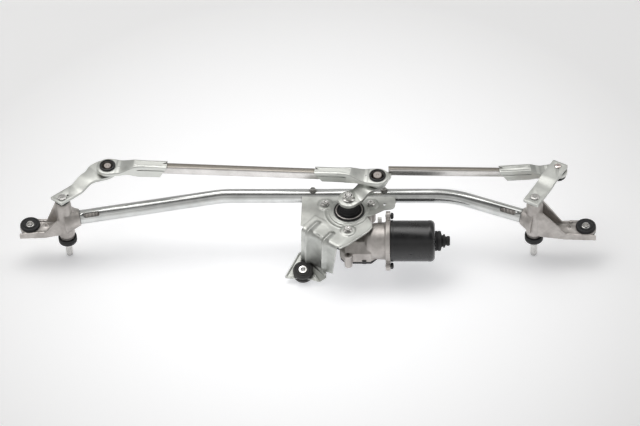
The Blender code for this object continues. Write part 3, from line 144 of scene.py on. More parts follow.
def lathe(name, profile, centre, count=72, axis=None, angle=28):
    """Turn (radius, height) points about Z through centre, or about another axis through it."""
    bm = bmesh.new()
    rings = []
    for radius, height in profile:
        if radius < 1e-6:
            rings.append([bm.verts.new((0, 0, height))])
        else:
            rings.append([bm.verts.new((x, y, height)) for x, y in circle(radius, count)])
    ring_faces(bm, rings, closed=len(rings[0]) > 1, caps=False)
    turn = Matrix.Identity(4)
    if axis is not None:
        turn = Vector(axis).to_track_quat("Z", "Y").to_matrix().to_4x4()
    bmesh.ops.transform(bm, matrix=Matrix.Translation(centre) @ turn, verts=bm.verts)
    return finish_mesh(name, bm, angle)


def arc_profile(centre, radius, start, end, steps=6):
    """Points of a rounded corner in a lathe profile, angles in degrees."""
    return [(centre[0] + radius * cos(radians(start + (end - start) * i / steps)),
             centre[1] + radius * sin(radians(start + (end - start) * i / steps))) for i in range(steps + 1)]


def cylinder(name, radius, low, high, centre, count=64):
    return lathe(name, [(0, low), (radius, low), (radius, high), (0, high)], centre, count)


def bar(name, start, end, radius, count=32, end_radius=None):
    """A round bar between two points, tapered when the second radius is given."""
    start, end = Vector(start), Vector(end)
    turn = (end - start).to_track_quat("Z", "Y").to_matrix().to_4x4()
    move = Matrix.Translation(start) @ turn
    length = (end - start).length
    sections = []
    for z, r in ((0, radius), (length, end_radius or radius)):
        sections.append([move @ Vector((x, y, z)) for x, y in circle(r, count)])
    return loft(name, sections)


def box(name, low, high):
    outline = [(low[0], low[1]), (high[0], low[1]), (high[0], high[1]), (low[0], high[1])]
    return prism(name, outline, low[2], high[2])


def rounded_rectangle(width, height, radius, steps=5):
    outline = []
    for i, (sx, sy) in enumerate(((1, 1), (-1, 1), (-1, -1), (1, -1))):
        middle = (sx * (width / 2 - radius), sy * (height / 2 - radius))
        outline += circle(radius, steps, middle, i * pi / 2, pi / 2)
    return outline


def apply_modifiers(target):
    bpy.context.view_layer.update()
    graph = bpy.context.evaluated_depsgraph_get()
    mesh = bpy.data.meshes.new_from_object(target.evaluated_get(graph))
    target.modifiers.clear()
    target.data = mesh
    return target


def drop(*objects):
    for item in objects:
        bpy.data.objects.remove(item, do_unlink=True)


def merge(target, *others):
    """Put several closed bodies into one mesh without joining their surfaces."""
    bm = bmesh.new()
    for item in (target, *others):
        bm.from_mesh(item.data)
    bm.to_mesh(target.data)
    bm.free()
    target.data.shade_smooth()
    target.data.set_sharp_from_angle(angle=radians(32))
    drop(*others)
    return target


def boolean(target, tools, operation):
    for tool in tools:
        step = target.modifiers.new(operation, "BOOLEAN")
        step.operation = operation
        step.solver = "EXACT"
        step.object = tool
        apply_modifiers(target)
        drop(tool)
    target.data.shade_smooth()
    target.data.set_sharp_from_angle(angle=radians(32))
    return target


def cut(target, *tools):
    return boolean(target, tools, "DIFFERENCE")


def union(target, *tools):
    return boolean(target, tools, "UNION")


def cast(target, voxel=0.6, passes=4, angle=40):
    """Fuse a body's overlapping parts into one skin with small fillets, as casting or pressing leaves it."""
    step = target.modifiers.new("skin", "REMESH")
    step.mode = "VOXEL"
    step.voxel_size = voxel * MM
    step.use_smooth_shade = True
    apply_modifiers(target)
    step = target.modifiers.new("soften", "SMOOTH")
    step.factor = 0.5
    step.iterations = passes
    apply_modifiers(target)
    target.data.shade_smooth()
    target.data.set_sharp_from_angle(angle=radians(angle))
    return target


def bevel(target, width=0.4, segments=3, angle=30):
    """Break the sharp edges."""
    step = target.modifiers.new("edges", "BEVEL")
    step.width = width * MM
    step.segments = segments
    step.limit_method = "ANGLE"
    step.angle_limit = radians(angle)
    step.harden_normals = False
    apply_modifiers(target)
    target.data.shade_smooth()
    target.data.set_sharp_from_angle(angle=radians(40))
    return target


# ---- Materials ----


class Nodes:
    """Short-hand for building one material's node tree."""

    def __init__(self, name):
        self.material = bpy.data.materials.new(name)
        self.material.use_nodes = True
        self.tree = self.material.node_tree
        self.shader = self.tree.nodes["Principled BSDF"]
        self.place = self.tree.nodes.new("ShaderNodeTexCoord").outputs["Object"]

    def link(self, output, target):
        self.tree.links.new(output, target)

    def stretched(self, scale):
        node = self.tree.nodes.new("ShaderNodeMapping")
        node.inputs["Scale"].default_value = scale
        self.link(self.place, node.inputs["Vector"])
        return node.outputs["Vector"]

    def noise(self, scale, detail=4.0, vector=None, roughness=0.55):
        node = self.tree.nodes.new("ShaderNodeTexNoise")
        node.inputs["Scale"].default_value = scale
        node.inputs["Detail"].default_value = detail
        node.inputs["Roughness"].default_value = roughness
        self.link(vector or self.place, node.inputs["Vector"])
        return node.outputs["Fac"]

    def cells(self, scale):
        node = self.tree.nodes.new("ShaderNodeTexVoronoi")
        node.inputs["Scale"].default_value = scale
        self.link(self.place, node.inputs["Vector"])
        return node.outputs["Distance"]

    def spread(self, value, low, high, start=0.35, end=0.65):
        node = self.tree.nodes.new("ShaderNodeMapRange")
        node.inputs["From Min"].default_value = start
        node.inputs["From Max"].default_value = end
        node.inputs["To Min"].default_value = low
        node.inputs["To Max"].default_value = high
        self.link(value, node.inputs["Value"])
        return node.outputs["Result"]

    def mix(self, factor, first, second):
        node = self.tree.nodes.new("ShaderNodeMix")
        node.data_type = "RGBA"
        self.link(factor, node.inputs["Factor"])
        for socket, colour in (("A", first), ("B", second)):
            target = [item for item in node.inputs if item.name == socket and item.type == "RGBA"][0]
            if isinstance(colour, tuple):
                target.default_value = (*colour, 1.0)
            else:
                self.link(colour, target)
        return [item for item in node.outputs if item.type == "RGBA"][0]

    def edges(self, low, high):
        node = self.tree.nodes.new("ShaderNodeNewGeometry")
        return self.spread(node.outputs["Pointiness"], 0.0, 1.0, low, high)

    def with_painted_cavity_shade(self, colour, reach, floor):
        """Paint shade into a colour in cavities: painted shade, darker where ambient occlusion finds the
        surface closed in.
        """
        node = self.tree.nodes.new("ShaderNodeAmbientOcclusion")
        node.samples = 6
        node.inputs["Distance"].default_value = reach * MM
        share = self.spread(node.outputs["AO"], floor, 1.0, 0.35, 0.95)
        scaled = self.tree.nodes.new("ShaderNodeVectorMath")
        scaled.operation = "SCALE"
        self.link(colour, scaled.inputs[0])
        self.link(share, scaled.inputs["Scale"])
        return scaled.outputs["Vector"]

    def bumps(self, *layers):
        """Stack (height, strength, distance in mm) bumps."""
        normal = None
        for height, strength, distance in layers:
            node = self.tree.nodes.new("ShaderNodeBump")
            node.inputs["Strength"].default_value = strength
            node.inputs["Distance"].default_value = distance * MM
            self.link(height, node.inputs["Height"])
            if normal is not None:
                self.link(normal, node.inputs["Normal"])
            normal = node.outputs["Normal"]
        self.link(normal, self.shader.inputs["Normal"])

    def colour(self, output):
        self.link(output, self.shader.inputs["Base Color"])

    def rough(self, output):
        self.link(output, self.shader.inputs["Roughness"])

    def constant(self, **values):
        names = {"metallic": "Metallic", "coat": "Coat Weight", "coat_rough": "Coat Roughness",
                 "specular": "Specular IOR Level", "rough": "Roughness"}
        for key, value in values.items():
            self.shader.inputs[names[key]].default_value = value


def plated(name, light, dark, rough=(0.26, 0.42), grain=900, streak=None, bump=0.12):
    """Zinc-plated or turned steel: cloudy tone, fine grain, sharp edges painted lighter as a painted
    highlight, cavities darkened with painted shade, drawing marks.
    """
    nodes = Nodes(name)
    cloud = nodes.noise(38, 5)
    fine = nodes.noise(grain, 3, nodes.stretched(streak) if streak else None)
    tone = nodes.mix(nodes.spread(cloud, 0, 1, 0.38, 0.62), dark, light)
    # Sharp edges painted lighter: a painted highlight. Below, cavities get painted shade.
    edge_painted_highlight = nodes.mix(nodes.edges(0.52, 0.58), tone, tuple(min(1.0, c * 1.18) for c in light))
    nodes.colour(nodes.with_painted_cavity_shade(edge_painted_highlight, 5.0, 0.42))
    nodes.rough(nodes.spread(fine, rough[0], rough[1], 0.3, 0.7))
    nodes.bumps((fine, bump, 0.05), (cloud, 0.05, 0.2))
    nodes.constant(metallic=1.0)
    return nodes.material


def tube_with_painted_top(name, upper, light, dark, rough):
    """Drawn zinc-plated tube: its upward-facing side painted brown as a painted reflection of the dim warm
    space above, its cavities darkened with painted shade.
    """
    nodes = Nodes(name)
    streaks = nodes.noise(220, 5, nodes.stretched((1, 24, 24)))
    cloud = nodes.noise(40, 5)
    side = nodes.tree.nodes.new("ShaderNodeSeparateXYZ")
    face = nodes.tree.nodes.new("ShaderNodeNewGeometry")
    nodes.link(face.outputs["Normal"], side.inputs["Vector"])
    tone = nodes.mix(nodes.spread(cloud, 0, 1, 0.36, 0.64), dark, light)
    # Upward-facing surfaces take the brown top colour: a painted reflection.
    nodes.colour(nodes.with_painted_cavity_shade(nodes.mix(nodes.spread(side.outputs["Z"], 0, 1, 0.72, 0.95), tone, upper),
                              4.0, 0.45))
    nodes.rough(nodes.spread(streaks, rough[0], rough[1], 0.3, 0.7))
    nodes.bumps((streaks, 0.14, 0.05), (cloud, 0.05, 0.2))
    nodes.constant(metallic=1.0)
    return nodes.material


def cast_metal(name, light, dark):
    """Die-cast aluminium: grainy skin, warm tone, sharp edges painted lighter as a painted highlight,
    cavities darkened with painted shade.
    """
    nodes = Nodes(name)
    cloud = nodes.noise(55, 6)
    grain = nodes.noise(1400, 4)
    pits = nodes.cells(900)
    tone = nodes.mix(nodes.spread(cloud, 0, 1, 0.36, 0.64), dark, light)
    # Sharp edges painted lighter: a painted highlight. Below, cavities get painted shade.
    edge_painted_light = nodes.mix(nodes.edges(0.52, 0.6), tone, tuple(min(1.0, c * 1.25) for c in light))
    nodes.colour(nodes.with_painted_cavity_shade(edge_painted_light, 4.0, 0.55))
    nodes.rough(nodes.spread(grain, 0.38, 0.58, 0.3, 0.7))
    nodes.bumps((grain, 0.35, 0.08), (pits, 0.10, 0.06), (cloud, 0.15, 0.4))
    nodes.constant(metallic=1.0)
    return nodes.material


def rubber(name, light, dark, rough=(0.48, 0.68), bump=0.3):
    """Moulded rubber or plastic with a fine skin and a little dust."""
    nodes = Nodes(name)
    dust = nodes.noise(90, 6)
    skin = nodes.noise(2200, 3)
    nodes.colour(nodes.mix(nodes.spread(dust, 0, 1, 0.45, 0.72), dark, light))
    nodes.rough(nodes.spread(dust, rough[0], rough[1]))
    nodes.bumps((skin, bump, 0.05), (dust, 0.1, 0.15))
    nodes.constant(metallic=0.0, specular=0.45)
    return nodes.material


def paint(name, light, dark):
    """Black enamel over pressed steel, with a slight orange peel and sharp edges painted grey as a painted
    highlight.
    """
    nodes = Nodes(name)
    cloud = nodes.noise(60, 4)
    peel = nodes.noise(650, 2)
    # Sharp edges painted grey: a painted highlight.
    edge_painted_highlight = nodes.mix(nodes.edges(0.55, 0.64), nodes.mix(nodes.spread(cloud, 0, 1), dark, light),
                     (0.10, 0.10, 0.10))
    nodes.colour(edge_painted_highlight)
    nodes.rough(nodes.spread(cloud, 0.26, 0.38))
    nodes.bumps((peel, 0.10, 0.08))
    nodes.constant(metallic=0.0, coat=0.35, coat_rough=0.18)
    return nodes.material


LOOKS = {
    "zinc_steel": plated("zinc_steel", (0.64, 0.65, 0.62), (0.50, 0.51, 0.485), (0.36, 0.52)),
    "zinc_tube": plated("zinc_tube", (0.74, 0.75, 0.74), (0.62, 0.63, 0.62), (0.14, 0.24), 220,
                        (1, 22, 22), 0.08),
    # dull_zinc rods: their brown top colour is a painted reflection.
    "dull_zinc": tube_with_painted_top("dull_zinc", (0.34, 0.315, 0.28), (0.82, 0.80, 0.78), (0.68, 0.66, 0.64),
                           (0.24, 0.36)),
    "bright_steel": plated("bright_steel", (0.80, 0.79, 0.77), (0.68, 0.67, 0.65), (0.14, 0.26), 1200),
    "polished_ball": plated("polished_ball", (0.90, 0.80, 0.76), (0.80, 0.68, 0.64), (0.06, 0.12), 600,
                            None, 0.03),
    "cast_aluminium": cast_metal("cast_aluminium", (0.60, 0.57, 0.545), (0.42, 0.395, 0.375)),
    "black_paint": paint("black_paint", (0.009, 0.009, 0.010), (0.004, 0.004, 0.005)),
    "black_rubber": rubber("black_rubber", (0.034, 0.034, 0.035), (0.014, 0.014, 0.015)),
    "grey_rubber": rubber("grey_rubber", (0.075, 0.072, 0.070), (0.040, 0.039, 0.038)),
    "black_plastic": rubber("black_plastic", (0.034, 0.034, 0.036), (0.018, 0.018, 0.019), (0.30, 0.46),
                            0.15),
    "white_plastic": rubber("white_plastic", (0.90, 0.90, 0.88), (0.82, 0.82, 0.80), (0.35, 0.5), 0.1),
    "dark_steel": plated("dark_steel", (0.30, 0.295, 0.28), (0.16, 0.155, 0.15), (0.22, 0.34), 900),
    "grey_step": rubber("grey_step", (0.17, 0.165, 0.16), (0.11, 0.105, 0.10), (0.32, 0.46), 0.1),
    "bronze": plated("bronze", (0.62, 0.42, 0.24), (0.48, 0.31, 0.17), (0.32, 0.48), 1500),
    "gear_plastic": rubber("gear_plastic", (0.72, 0.69, 0.60), (0.62, 0.59, 0.50), (0.4, 0.55), 0.12),
    "magnet": rubber("magnet", (0.12, 0.12, 0.125), (0.08, 0.08, 0.085), (0.5, 0.7), 0.4),
    "copper": plated("copper", (0.80, 0.42, 0.26), (0.62, 0.29, 0.16), (0.25, 0.4), 400, (1, 20, 20)),
}


def dress(piece, look, body="frame", nodes=()):
    """Give a piece its material, its body, and the CAD nodes it stands for."""
    piece.data.materials.clear()
    piece.data.materials.append(LOOKS[look])
    for polygon in piece.data.polygons:
        polygon.material_index = 0
    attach(piece, body)
    if nodes:
        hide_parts(*nodes)
    return piece


# ---- Frame tube ----

TUBE_RADIUS, TUBE_WALL, TUBE_BEND = 11.0, 1.5, 150.0
TUBE_Y, TUBE_Z = 38.5, 84.7
TUBE_CORNERS = (Vector((-350, 0, 74.3)), Vector((-115, TUBE_Y, TUBE_Z)), Vector((229, TUBE_Y, TUBE_Z)),
                Vector((350, 0, 73.5)))
TUBE_ENDS = (-327.0, 331.0)
TUBE_SCREWS = (20.6, 126.9)


def point_at_x(start, end, x):
    return start.lerp(end, (x - start.x) / (end.x - start.x))


def tube_path():
    """Centre line with a smooth arc at each bend."""
    first, second, third, fourth = TUBE_CORNERS
    path = [point_at_x(first, second, TUBE_ENDS[0])]
    for before, corner, after in ((first, second, third), (second, third, fourth)):
        into, out = (corner - before).normalized(), (after - corner).normalized()
        setback = TUBE_BEND * tan(into.angle(out) / 2)
        for i in range(17):
            t = i / 16
            path.append((corner - into * setback * (1 - t)).lerp(corner + out * setback * t, t))
    path.append(point_at_x(third, fourth, TUBE_ENDS[1]))
    return path


def sweep(path, outline):
    rings = []
    for i, point in enumerate(path):
        forward = (path[min(i + 1, len(path) - 1)] - path[max(i - 1, 0)]).normalized()
        side = Vector((0, 0, 1)).cross(forward).normalized()
        up = forward.cross(side)
        rings.append([point + side * a + up * b for a, b in outline])
    return rings


def make_tube():
    outer = sweep(tube_path(), circle(TUBE_RADIUS - 0.05, 72))
    inner = sweep(tube_path(), circle(TUBE_RADIUS - TUBE_WALL, 72))
    tube = loft("tube", outer + inner[::-1], closed=True)
    first, second, third, fourth = TUBE_CORNERS
    windows = ((first, second, -324.0, -296.0), (third, fourth, 299.0, 325.0))
    tools = []
    for start, end, low, high in windows:
        a, b = point_at_x(start, end, low), point_at_x(start, end, high)
        outward = Vector((0, -0.62, 0.78))
        along = (b - a).normalized()
        across = outward.cross(along).normalized()
        outward = along.cross(across)
        turn = Matrix((along, across, outward)).transposed().to_4x4()
        move = Matrix.Translation((a + b) / 2 + outward * TUBE_RADIUS) @ turn
        outline = rounded_rectangle(24, 7.6, 3.2, 8)
        tools.append(loft("window", [[move @ Vector((x, y, z)) for x, y in outline] for z in (-5, 6)]))
    for x in TUBE_SCREWS:
        tools.append(cylinder("hole", 3, TUBE_Z - 18, TUBE_Z + 18, Vector((x, TUBE_Y, 0)), 32))
    cut(tube, *tools)
    bevel(tube, 0.35, 2, 40)
    dress(tube, "zinc_tube", "frame", ("frame_tube",))


make_tube()

# ---- Links ----

LEVER_THICKNESS, CRANK_THICKNESS = 4.5, 5.0
BALL_RADIUS, CRANK_BALL_RADIUS, CRANK_BALL_Z = 6.8, 7.6, 138.2
SHEET = 1.5
SOCKET_RISE = 3.0
LEFT_ROD_TOP, RIGHT_ROD_TOP, RIGHT_ROD_SLOPE = 146.7, 138.8, -0.069


class LinkFrame:
    """Distance along a link, sideways and height, as layout points."""

    def __init__(self, start, end, slope=0.0):
        self.start = start
        self.length = (end - start).length
        self.along = (end - start).normalized()
        self.side = Vector((-self.along.y, self.along.x, 0))
        self.slope = slope

    def point(self, distance, sideways, height):
        return (self.start + self.along * distance + self.side * sideways
                + Vector((0, 0, height + self.slope * distance)))

    def soft_ring(self, distance, half, low, high, corner, steps=4):
        """A section across the link with rounded top corners."""
        corner = min(corner, half * 0.6)
        turns = [pi / 2 * i / steps for i in range(steps + 1)]
        points = [(half, low)]
        points += [(half - corner + corner * cos(a), high - corner + corner * sin(a)) for a in turns]
        points += [(-half + corner - corner * sin(a), high - corner + corner * cos(a)) for a in turns]
        points.append((-half, low))
        return [self.point(distance, a, b) for a, b in points]

    def slab(self, name, outline, half):
        """Extrude a (distance, height) outline sideways."""
        return loft(name, [[self.point(d, s, h) for d, h in outline] for s in (-half, half)])


def ease(t):
    t = max(0.0, min(1.0, t))
    return t * t * (3 - 2 * t)


def fitting_rings(link, joint, inward, form, inset):
    """Sections of a stamped link end: round eye, a step up to the rod's height, then the channel."""
    half, eye, eye_top = form["half"], form["eye"], form["eye_top"]
    shallow_floor = eye_top - form["shallow"]
    rows = []
    for i in range(14):
        angle = radians(6) + radians(78) * i / 13
        radius = eye - inset
        rows.append((-radius * cos(angle), radius * sin(angle), shallow_floor, eye_top))
    for i in range(1, 25):
        distance = form["length"] * 0.66 * i / 24
        wide = eye + (half - eye) * ease(distance / (form["length"] * 0.62))
        risen = ease((distance - form["rise_start"]) / form["rise_length"])
        top = eye_top + (form["channel_top"] - eye_top) * risen
        floor = shallow_floor + (form["channel_bottom"] - shallow_floor) * ease((distance - 26) / 24)
        rows.append((distance, wide - inset, floor, top))
    rows.append((form["length"] + (5 if inset else 0), half - inset, form["channel_bottom"],
                 form["channel_top"]))
    corner = 2.0 - inset * 0.8
    low = 5 if inset else 0
    rings = [link.soft_ring(joint + inward * d, h, floor - low, top - inset, corner) for d, h, floor,
             top in rows]
    return rings if inward > 0 else rings[::-1]


def make_fitting(name, link, joint, inward, form, body):
    """A stamped link end with a channel cut to an arrow, pressed grooves along it and a dimple by the eye."""
    made = loft("outer", fitting_rings(link, joint, inward, form, 0))
    hollow = loft("hollow", fitting_rings(link, joint, inward, form, SHEET))
    end = joint + inward * form["length"]
    top, bottom = form["channel_top"], form["channel_bottom"]
    slant = [(end - inward * 13, bottom - 3), (end + inward * 4, bottom - 3), (end + inward * 4, top - 2.5),
             (end - inward * 0.6, top - 2.5)]
    tools = [hollow, link.slab("slant", slant, 30)]
    half = form["half"]
    notch = [(end - inward * 6.5, 0.5), (end + inward * 4, 0.5), (end + inward * 4, half), (end, half - 1.4)]
    outline = [link.point(d, s, 0) for d, s in notch]
    tools.append(prism("notch", [(q.x, q.y) for q in outline], 60, 170))
    made = cut(made, *tools)
    groove_start = joint + inward * 26
    for side in (1, -1):
        for sideways, lift, radius in ((half * side, -(top - bottom) * 0.36, 1.0),
                                       ((half - 3.4) * side, 0.5, 1.3)):
            height = top + lift
            groove = bar("groove", link.point(groove_start + inward * 4, sideways, height),
                         link.point(end - inward * 1.5, sideways, height), radius, 12)
            cut(made, groove)
    centre = flat(link.point(joint, 0, 0))
    dimple = flat(link.point(joint + inward * 17, 0, 0))
    cut(made, cylinder("opening", form["hole"], 80, 170, centre),
        cylinder("dimple", 1.2, 80, 170, dimple, 16))
    bevel(made, 0.3, 2, 40)
    made.name = name
    return dress(made, "zinc_steel", body, (name,))


def make_rod(name, link, start, end, width, height, top, body, shifts=(0.0, 0.0)):
    """Flattened tube with soft corners."""
    rings = []
    for inset in (0.05, 1.3):
        outline = rounded_rectangle(width - 2 * inset, height - 2 * inset, 2.6 - inset, 7)
        pair = []
        for i in range(13):
            t = i / 12
            shift = shifts[0] + (shifts[1] - shifts[0]) * t
            pair.append([link.point(start + (end - start) * t, a + shift, top - height / 2 + b)
                         for a, b in outline])
        rings.append(pair)
    rod = loft(name, rings[0] + rings[1][::-1], closed=True)
    return dress(rod, "dull_zinc", body, (name,))


def make_socket(name, centre, inner, body_radius, flange, low, top, body, upward=1):
    """Plastic ball socket: a tall rolled black flange with a grey tapered throat."""
    rim = top - upward * 2.8
    profile = [(inner + 0.5, low), (body_radius, low), (body_radius, rim), (flange - 0.4, rim),
               (flange, rim + upward * 0.5), (flange, top - upward * 0.9),
               (flange - 0.3, top - upward * 0.3),
               (flange - 0.9, top), (inner + 1.6, top), (inner + 1.2, top - upward * 0.4),
               (inner + 1.1, top - upward * 1.3)]
    dress(lathe(name, profile, centre, 96), "black_plastic", body, (name,))
    throat = [(inner + 0.55, low + upward * 0.1), (inner + 1.05, low + upward * 0.1),
              (inner + 1.05, top - upward * 1.3), (inner + 0.6, top - upward * 1.9),
              (inner + 0.35, top - upward * 3.0), (inner + 0.35, top - upward * 4.6),
              (inner + 0.45, top - upward * 5.2)]
    dress(lathe(name + "_throat", throat, centre, 96), "grey_step", body, ())


def make_stud(name, centre, deck, thickness, radius, ball_z, top_cut, shank, neck, body, upward=1):
    """Ball stud: riveted tail under the arm, collar, neck, and a polished ball with a centre mark."""
    far = deck - upward * thickness
    first = -acos(neck / radius)
    sweep = asin(top_cut / radius) - first
    turns = [first + sweep * i / 24 for i in range(25)]
    ball = [(radius * cos(a), ball_z + upward * radius * sin(a)) for a in turns]
    crown = ball_z + upward * top_cut
    profile = [(0, far - upward * 0.9), (shank * 0.6, far - upward * 1.0),
               (shank * 0.75, far - upward * 1.5),
               (shank + 0.6, far - upward * 1.3), (shank + 1.4, far - upward * 0.8),
               (shank + 1.5, far - upward * 0.35), (shank, far - upward * 0.3),
               (shank, deck + upward * 0.3),
               (neck + 1.2, deck + upward * 0.3), (neck + 1.2, deck + upward * 1.1),
               (neck, deck + upward * 1.3)]
    profile += ball + [(1.6, crown), (1.2, crown - upward * 0.5), (0.8, crown - upward * 1.0),
                       (0, crown - upward * 1.2)]
    return dress(lathe(name, profile, centre, 96), "polished_ball", body, (name,))


def make_left_link():
    link = LinkFrame(LEFT_BALL, CRANK_PIN)
    form = {"length": 90, "eye": 16.9, "eye_top": LINK_TOP, "shallow": 5.4, "rise_start": 16,
            "rise_length": 30,
            "channel_top": LEFT_ROD_TOP + SHEET + 0.3, "channel_bottom": 127.5, "half": 7.5, "hole": 10.7}
    make_fitting("left_link_lever_end", link, 0, 1, form, "left_link")
    form.update({"length": 93, "channel_bottom": 131.5, "hole": 11.5})
    make_fitting("left_link_crank_end", link, link.length, -1, form, "left_link")
    make_rod("left_link_rod", link, 78, link.length - 80, 11.5, 14, LEFT_ROD_TOP, "left_link")
    top = LINK_TOP + SOCKET_RISE
    make_socket("left_link_lever_socket", LEFT_BALL, 8.0, 10.4, 11.8, LINK_TOP - 6.9, top, "left_link")
    make_socket("left_link_crank_socket", CRANK_PIN, 9.0, 11.2, 12.3, LINK_TOP - 5.3, top, "left_link")


def make_right_link():
    start, eye_top, length = 18.5, 133.0, 88.0
    end_top = RIGHT_BALL_Z + 5.2
    link = LinkFrame(CRANK_PIN, RIGHT_BALL, RIGHT_ROD_SLOPE)
    base = RIGHT_ROD_TOP - RIGHT_ROD_SLOPE * start
    channel_top = base + SHEET + 0.3
    form = {"length": length, "eye": 14, "eye_top": end_top - RIGHT_ROD_SLOPE * link.length, "shallow": 6,
            "rise_start": 22, "rise_length": 24, "channel_top": channel_top,
            "channel_bottom": channel_top - 18, "half": 8.1, "hole": 11.3}
    make_fitting("right_link_lever_end", link, link.length, -1, form, "right_link")
    make_rod("right_link_rod", link, start, link.length - length + 12, 9.5, 13, base, "right_link",
             (16.4, 0.3))
    eye = circle(15.5, 40, CRANK_PIN, radians(100), radians(250))
    for distance, sideways in ((20.5, 3), (21.5, 10.6), (17.8, 10.8), (17.8, 13.5)):
        spot = link.point(distance, sideways, 0)
        eye.append((spot.x, spot.y))
    plate = prism("eye", eye, eye_top - 3, eye_top)
    cut(plate, cylinder("hole", 10.6, 120, 140, CRANK_PIN))
    bevel(plate, 0.5)
    plate.name = "right_link_crank_eye"
    dress(plate, "zinc_steel", "right_link", ("right_link_crank_eye",))
    profile = [(8.9, 129.5), (10.0, 129.5), (10.3, 129.8), (10.3, 132.9), (10.0, 133.2), (8.9, 133.2)]
    dress(lathe("right_link_crank_socket", profile, CRANK_PIN, 72), "black_plastic", "right_link",
          ("right_link_crank_socket",))
    make_socket("right_link_lever_socket", RIGHT_BALL, 8.2, 11, 12.3, end_top - 1.5, end_top - 13,
                "right_link", -1)


# ---- Levers and crank ----

# Far and near edge of the left lever: (mm along it, mm across it).
LEFT_LEVER_EDGES = (
    ((-13.5, 10.5), (-7, -10.5)), ((-12.5, 10.7), (-6, -10.4)), ((20, 14.5), (26, -6.5)),
    ((24, 15), (30, -6)),
    ((28, 15.5), (34, -5.8)), ((38, 16.8), (44, -5.3)), ((43, 17.5), (49, -5)), ((52, 19.5), (56, -5.5)),
    ((57, 22.5), (59, -6.4)), ((61, 25.3), (62, -7.5)), ((66, 27), (68, -9.5)), ((73, 27.5), (72, -10.6)),
    ((80, 27.4), (76, -11.5)), ((86, 25), (84, -11)), ((89, 21), (88, -8.7)), ((91, 16), (91, -5.6)))


def strip(name, sections, thickness):
    """A bent flat bar from (far point, near point) pairs on its top face."""
    down = Vector((0, 0, -thickness))
    return loft(name, [[far, near, near + down, far + down] for far, near in sections])


def straight_sections(start, angle, rows):
    """Top-face point pairs of a straight bar from (distance, half width, top height) rows."""
    along = Vector((cos(angle), sin(angle), 0))
    side = Vector((-sin(angle), cos(angle), 0))
    pairs = []
    for distance, half, top in rows:
        middle = start + along * distance + Vector((0, 0, top))
        pairs.append((middle + side * half, middle - side * half))
    return pairs


def ramp_rows(first, last, half, low, high, steps=10):
    """A ramp between two heights with soft bends."""
    turns = [i / steps for i in range(steps + 1)]
    return [(first + (last - first) * t, half, low + (high - low) * ease(t)) for t in turns]


def end_rows(centre, radius, top, outward, steps=14):
    """Rows that round off a bar's end about a centre."""
    rows = []
    for i in range(steps):
        angle = radians(8) + radians(82) * i / (steps - 1)
        rows.append((centre + outward * radius * cos(angle), radius * sin(angle), top))
    return rows if outward < 0 else rows[::-1]


def make_left_lever():
    low, high = LEVER_PLANE, LEVER_PLANE + DECK_RISE
    angle = atan2(LEFT_BALL.y - LEFT_PIVOT.y, LEFT_BALL.x - LEFT_PIVOT.x)
    along, side = Vector((cos(angle), sin(angle), 0)), Vector((-sin(angle), cos(angle), 0))
    sections = []
    for far, near in LEFT_LEVER_EDGES:
        top = Vector((0, 0, low + DECK_RISE * ease(((far[0] + near[0]) / 2 - 25) / 21)))
        sections.append(tuple(LEFT_PIVOT + along * d + side * across + top for d, across in (far, near)))
    lever = strip("left", sections, LEVER_THICKNESS)
    notch = flat(LEFT_PIVOT + along * 9.5 - side * 0.5)
    cut(lever, cylinder("hole", 5.2, 100, 130, LEFT_PIVOT), cylinder("hole", 3.8, 110, 140, LEFT_BALL),
        cylinder("notch", 1.5, 100, 130, notch, 16))
    bevel(lever, 0.6, 3, 25)
    lever.name = "left_lever"
    dress(lever, "zinc_steel", "left_wiper_lever", ("left_lever",))
    make_stud("left_ball_stud", LEFT_BALL, high, LEVER_THICKNESS, BALL_RADIUS, LEFT_BALL_Z, 4.6, 3.5, 4,
              "left_wiper_lever")


def make_right_lever():
    half, low = 12.5, LEVER_PLANE
    reach = (RIGHT_BALL - RIGHT_PIVOT).length
    angle = atan2(RIGHT_BALL.y - RIGHT_PIVOT.y, RIGHT_BALL.x - RIGHT_PIVOT.x)
    rows = [(-13.5, half - 1.2, low), (-12.9, half - 0.4, low), (-11.8, half, low), (22, half, low)]
    rows += ramp_rows(27, 45, half, low, low + 3, 6)
    rows += [(reach + 6.6, half, low + 3), (reach + 8.2, half - 0.6, low + 3),
             (reach + 9, half - 2, low + 3)]
    lever = strip("right", straight_sections(RIGHT_PIVOT, angle, rows), LEVER_THICKNESS)
    cut(lever, cylinder("hole", 5.2, 100, 130, RIGHT_PIVOT), cylinder("hole", 3.8, 110, 140, RIGHT_BALL))
    bevel(lever, 0.6)
    lever.name = "right_lever"
    dress(lever, "zinc_steel", "right_wiper_lever", ("right_lever",))
    make_stud("right_ball_stud", RIGHT_BALL, low + 3 - LEVER_THICKNESS, LEVER_THICKNESS, BALL_RADIUS,
              RIGHT_BALL_Z, 4.6, 3.5, 4, "right_wiper_lever", -1)


def hex_fastener(name, centre, seat, flats, flange, height):
    """Hexagon head with chamfered corners on its flange."""
    skirt = lathe("skirt", [(0, seat), (flange, seat), (flange, seat + 0.7), (flange - 0.5, seat + 1.1),
                            (flats * 0.54, seat + 2.0), (0, seat + 2.0)], centre, 64)
    corner = flats / sqrt(3)
    head = prism("head", circle(corner, 6, centre), seat + 1, seat + height)
    crown = lathe("crown", [(0, seat), (corner + 0.2, seat), (corner + 0.2, seat + height - flats * 0.11),
                            (flats * 0.47, seat + height), (0, seat + height)], centre, 48)
    head = boolean(head, [crown], "INTERSECT")
    head.name = name
    return union(head, skirt)


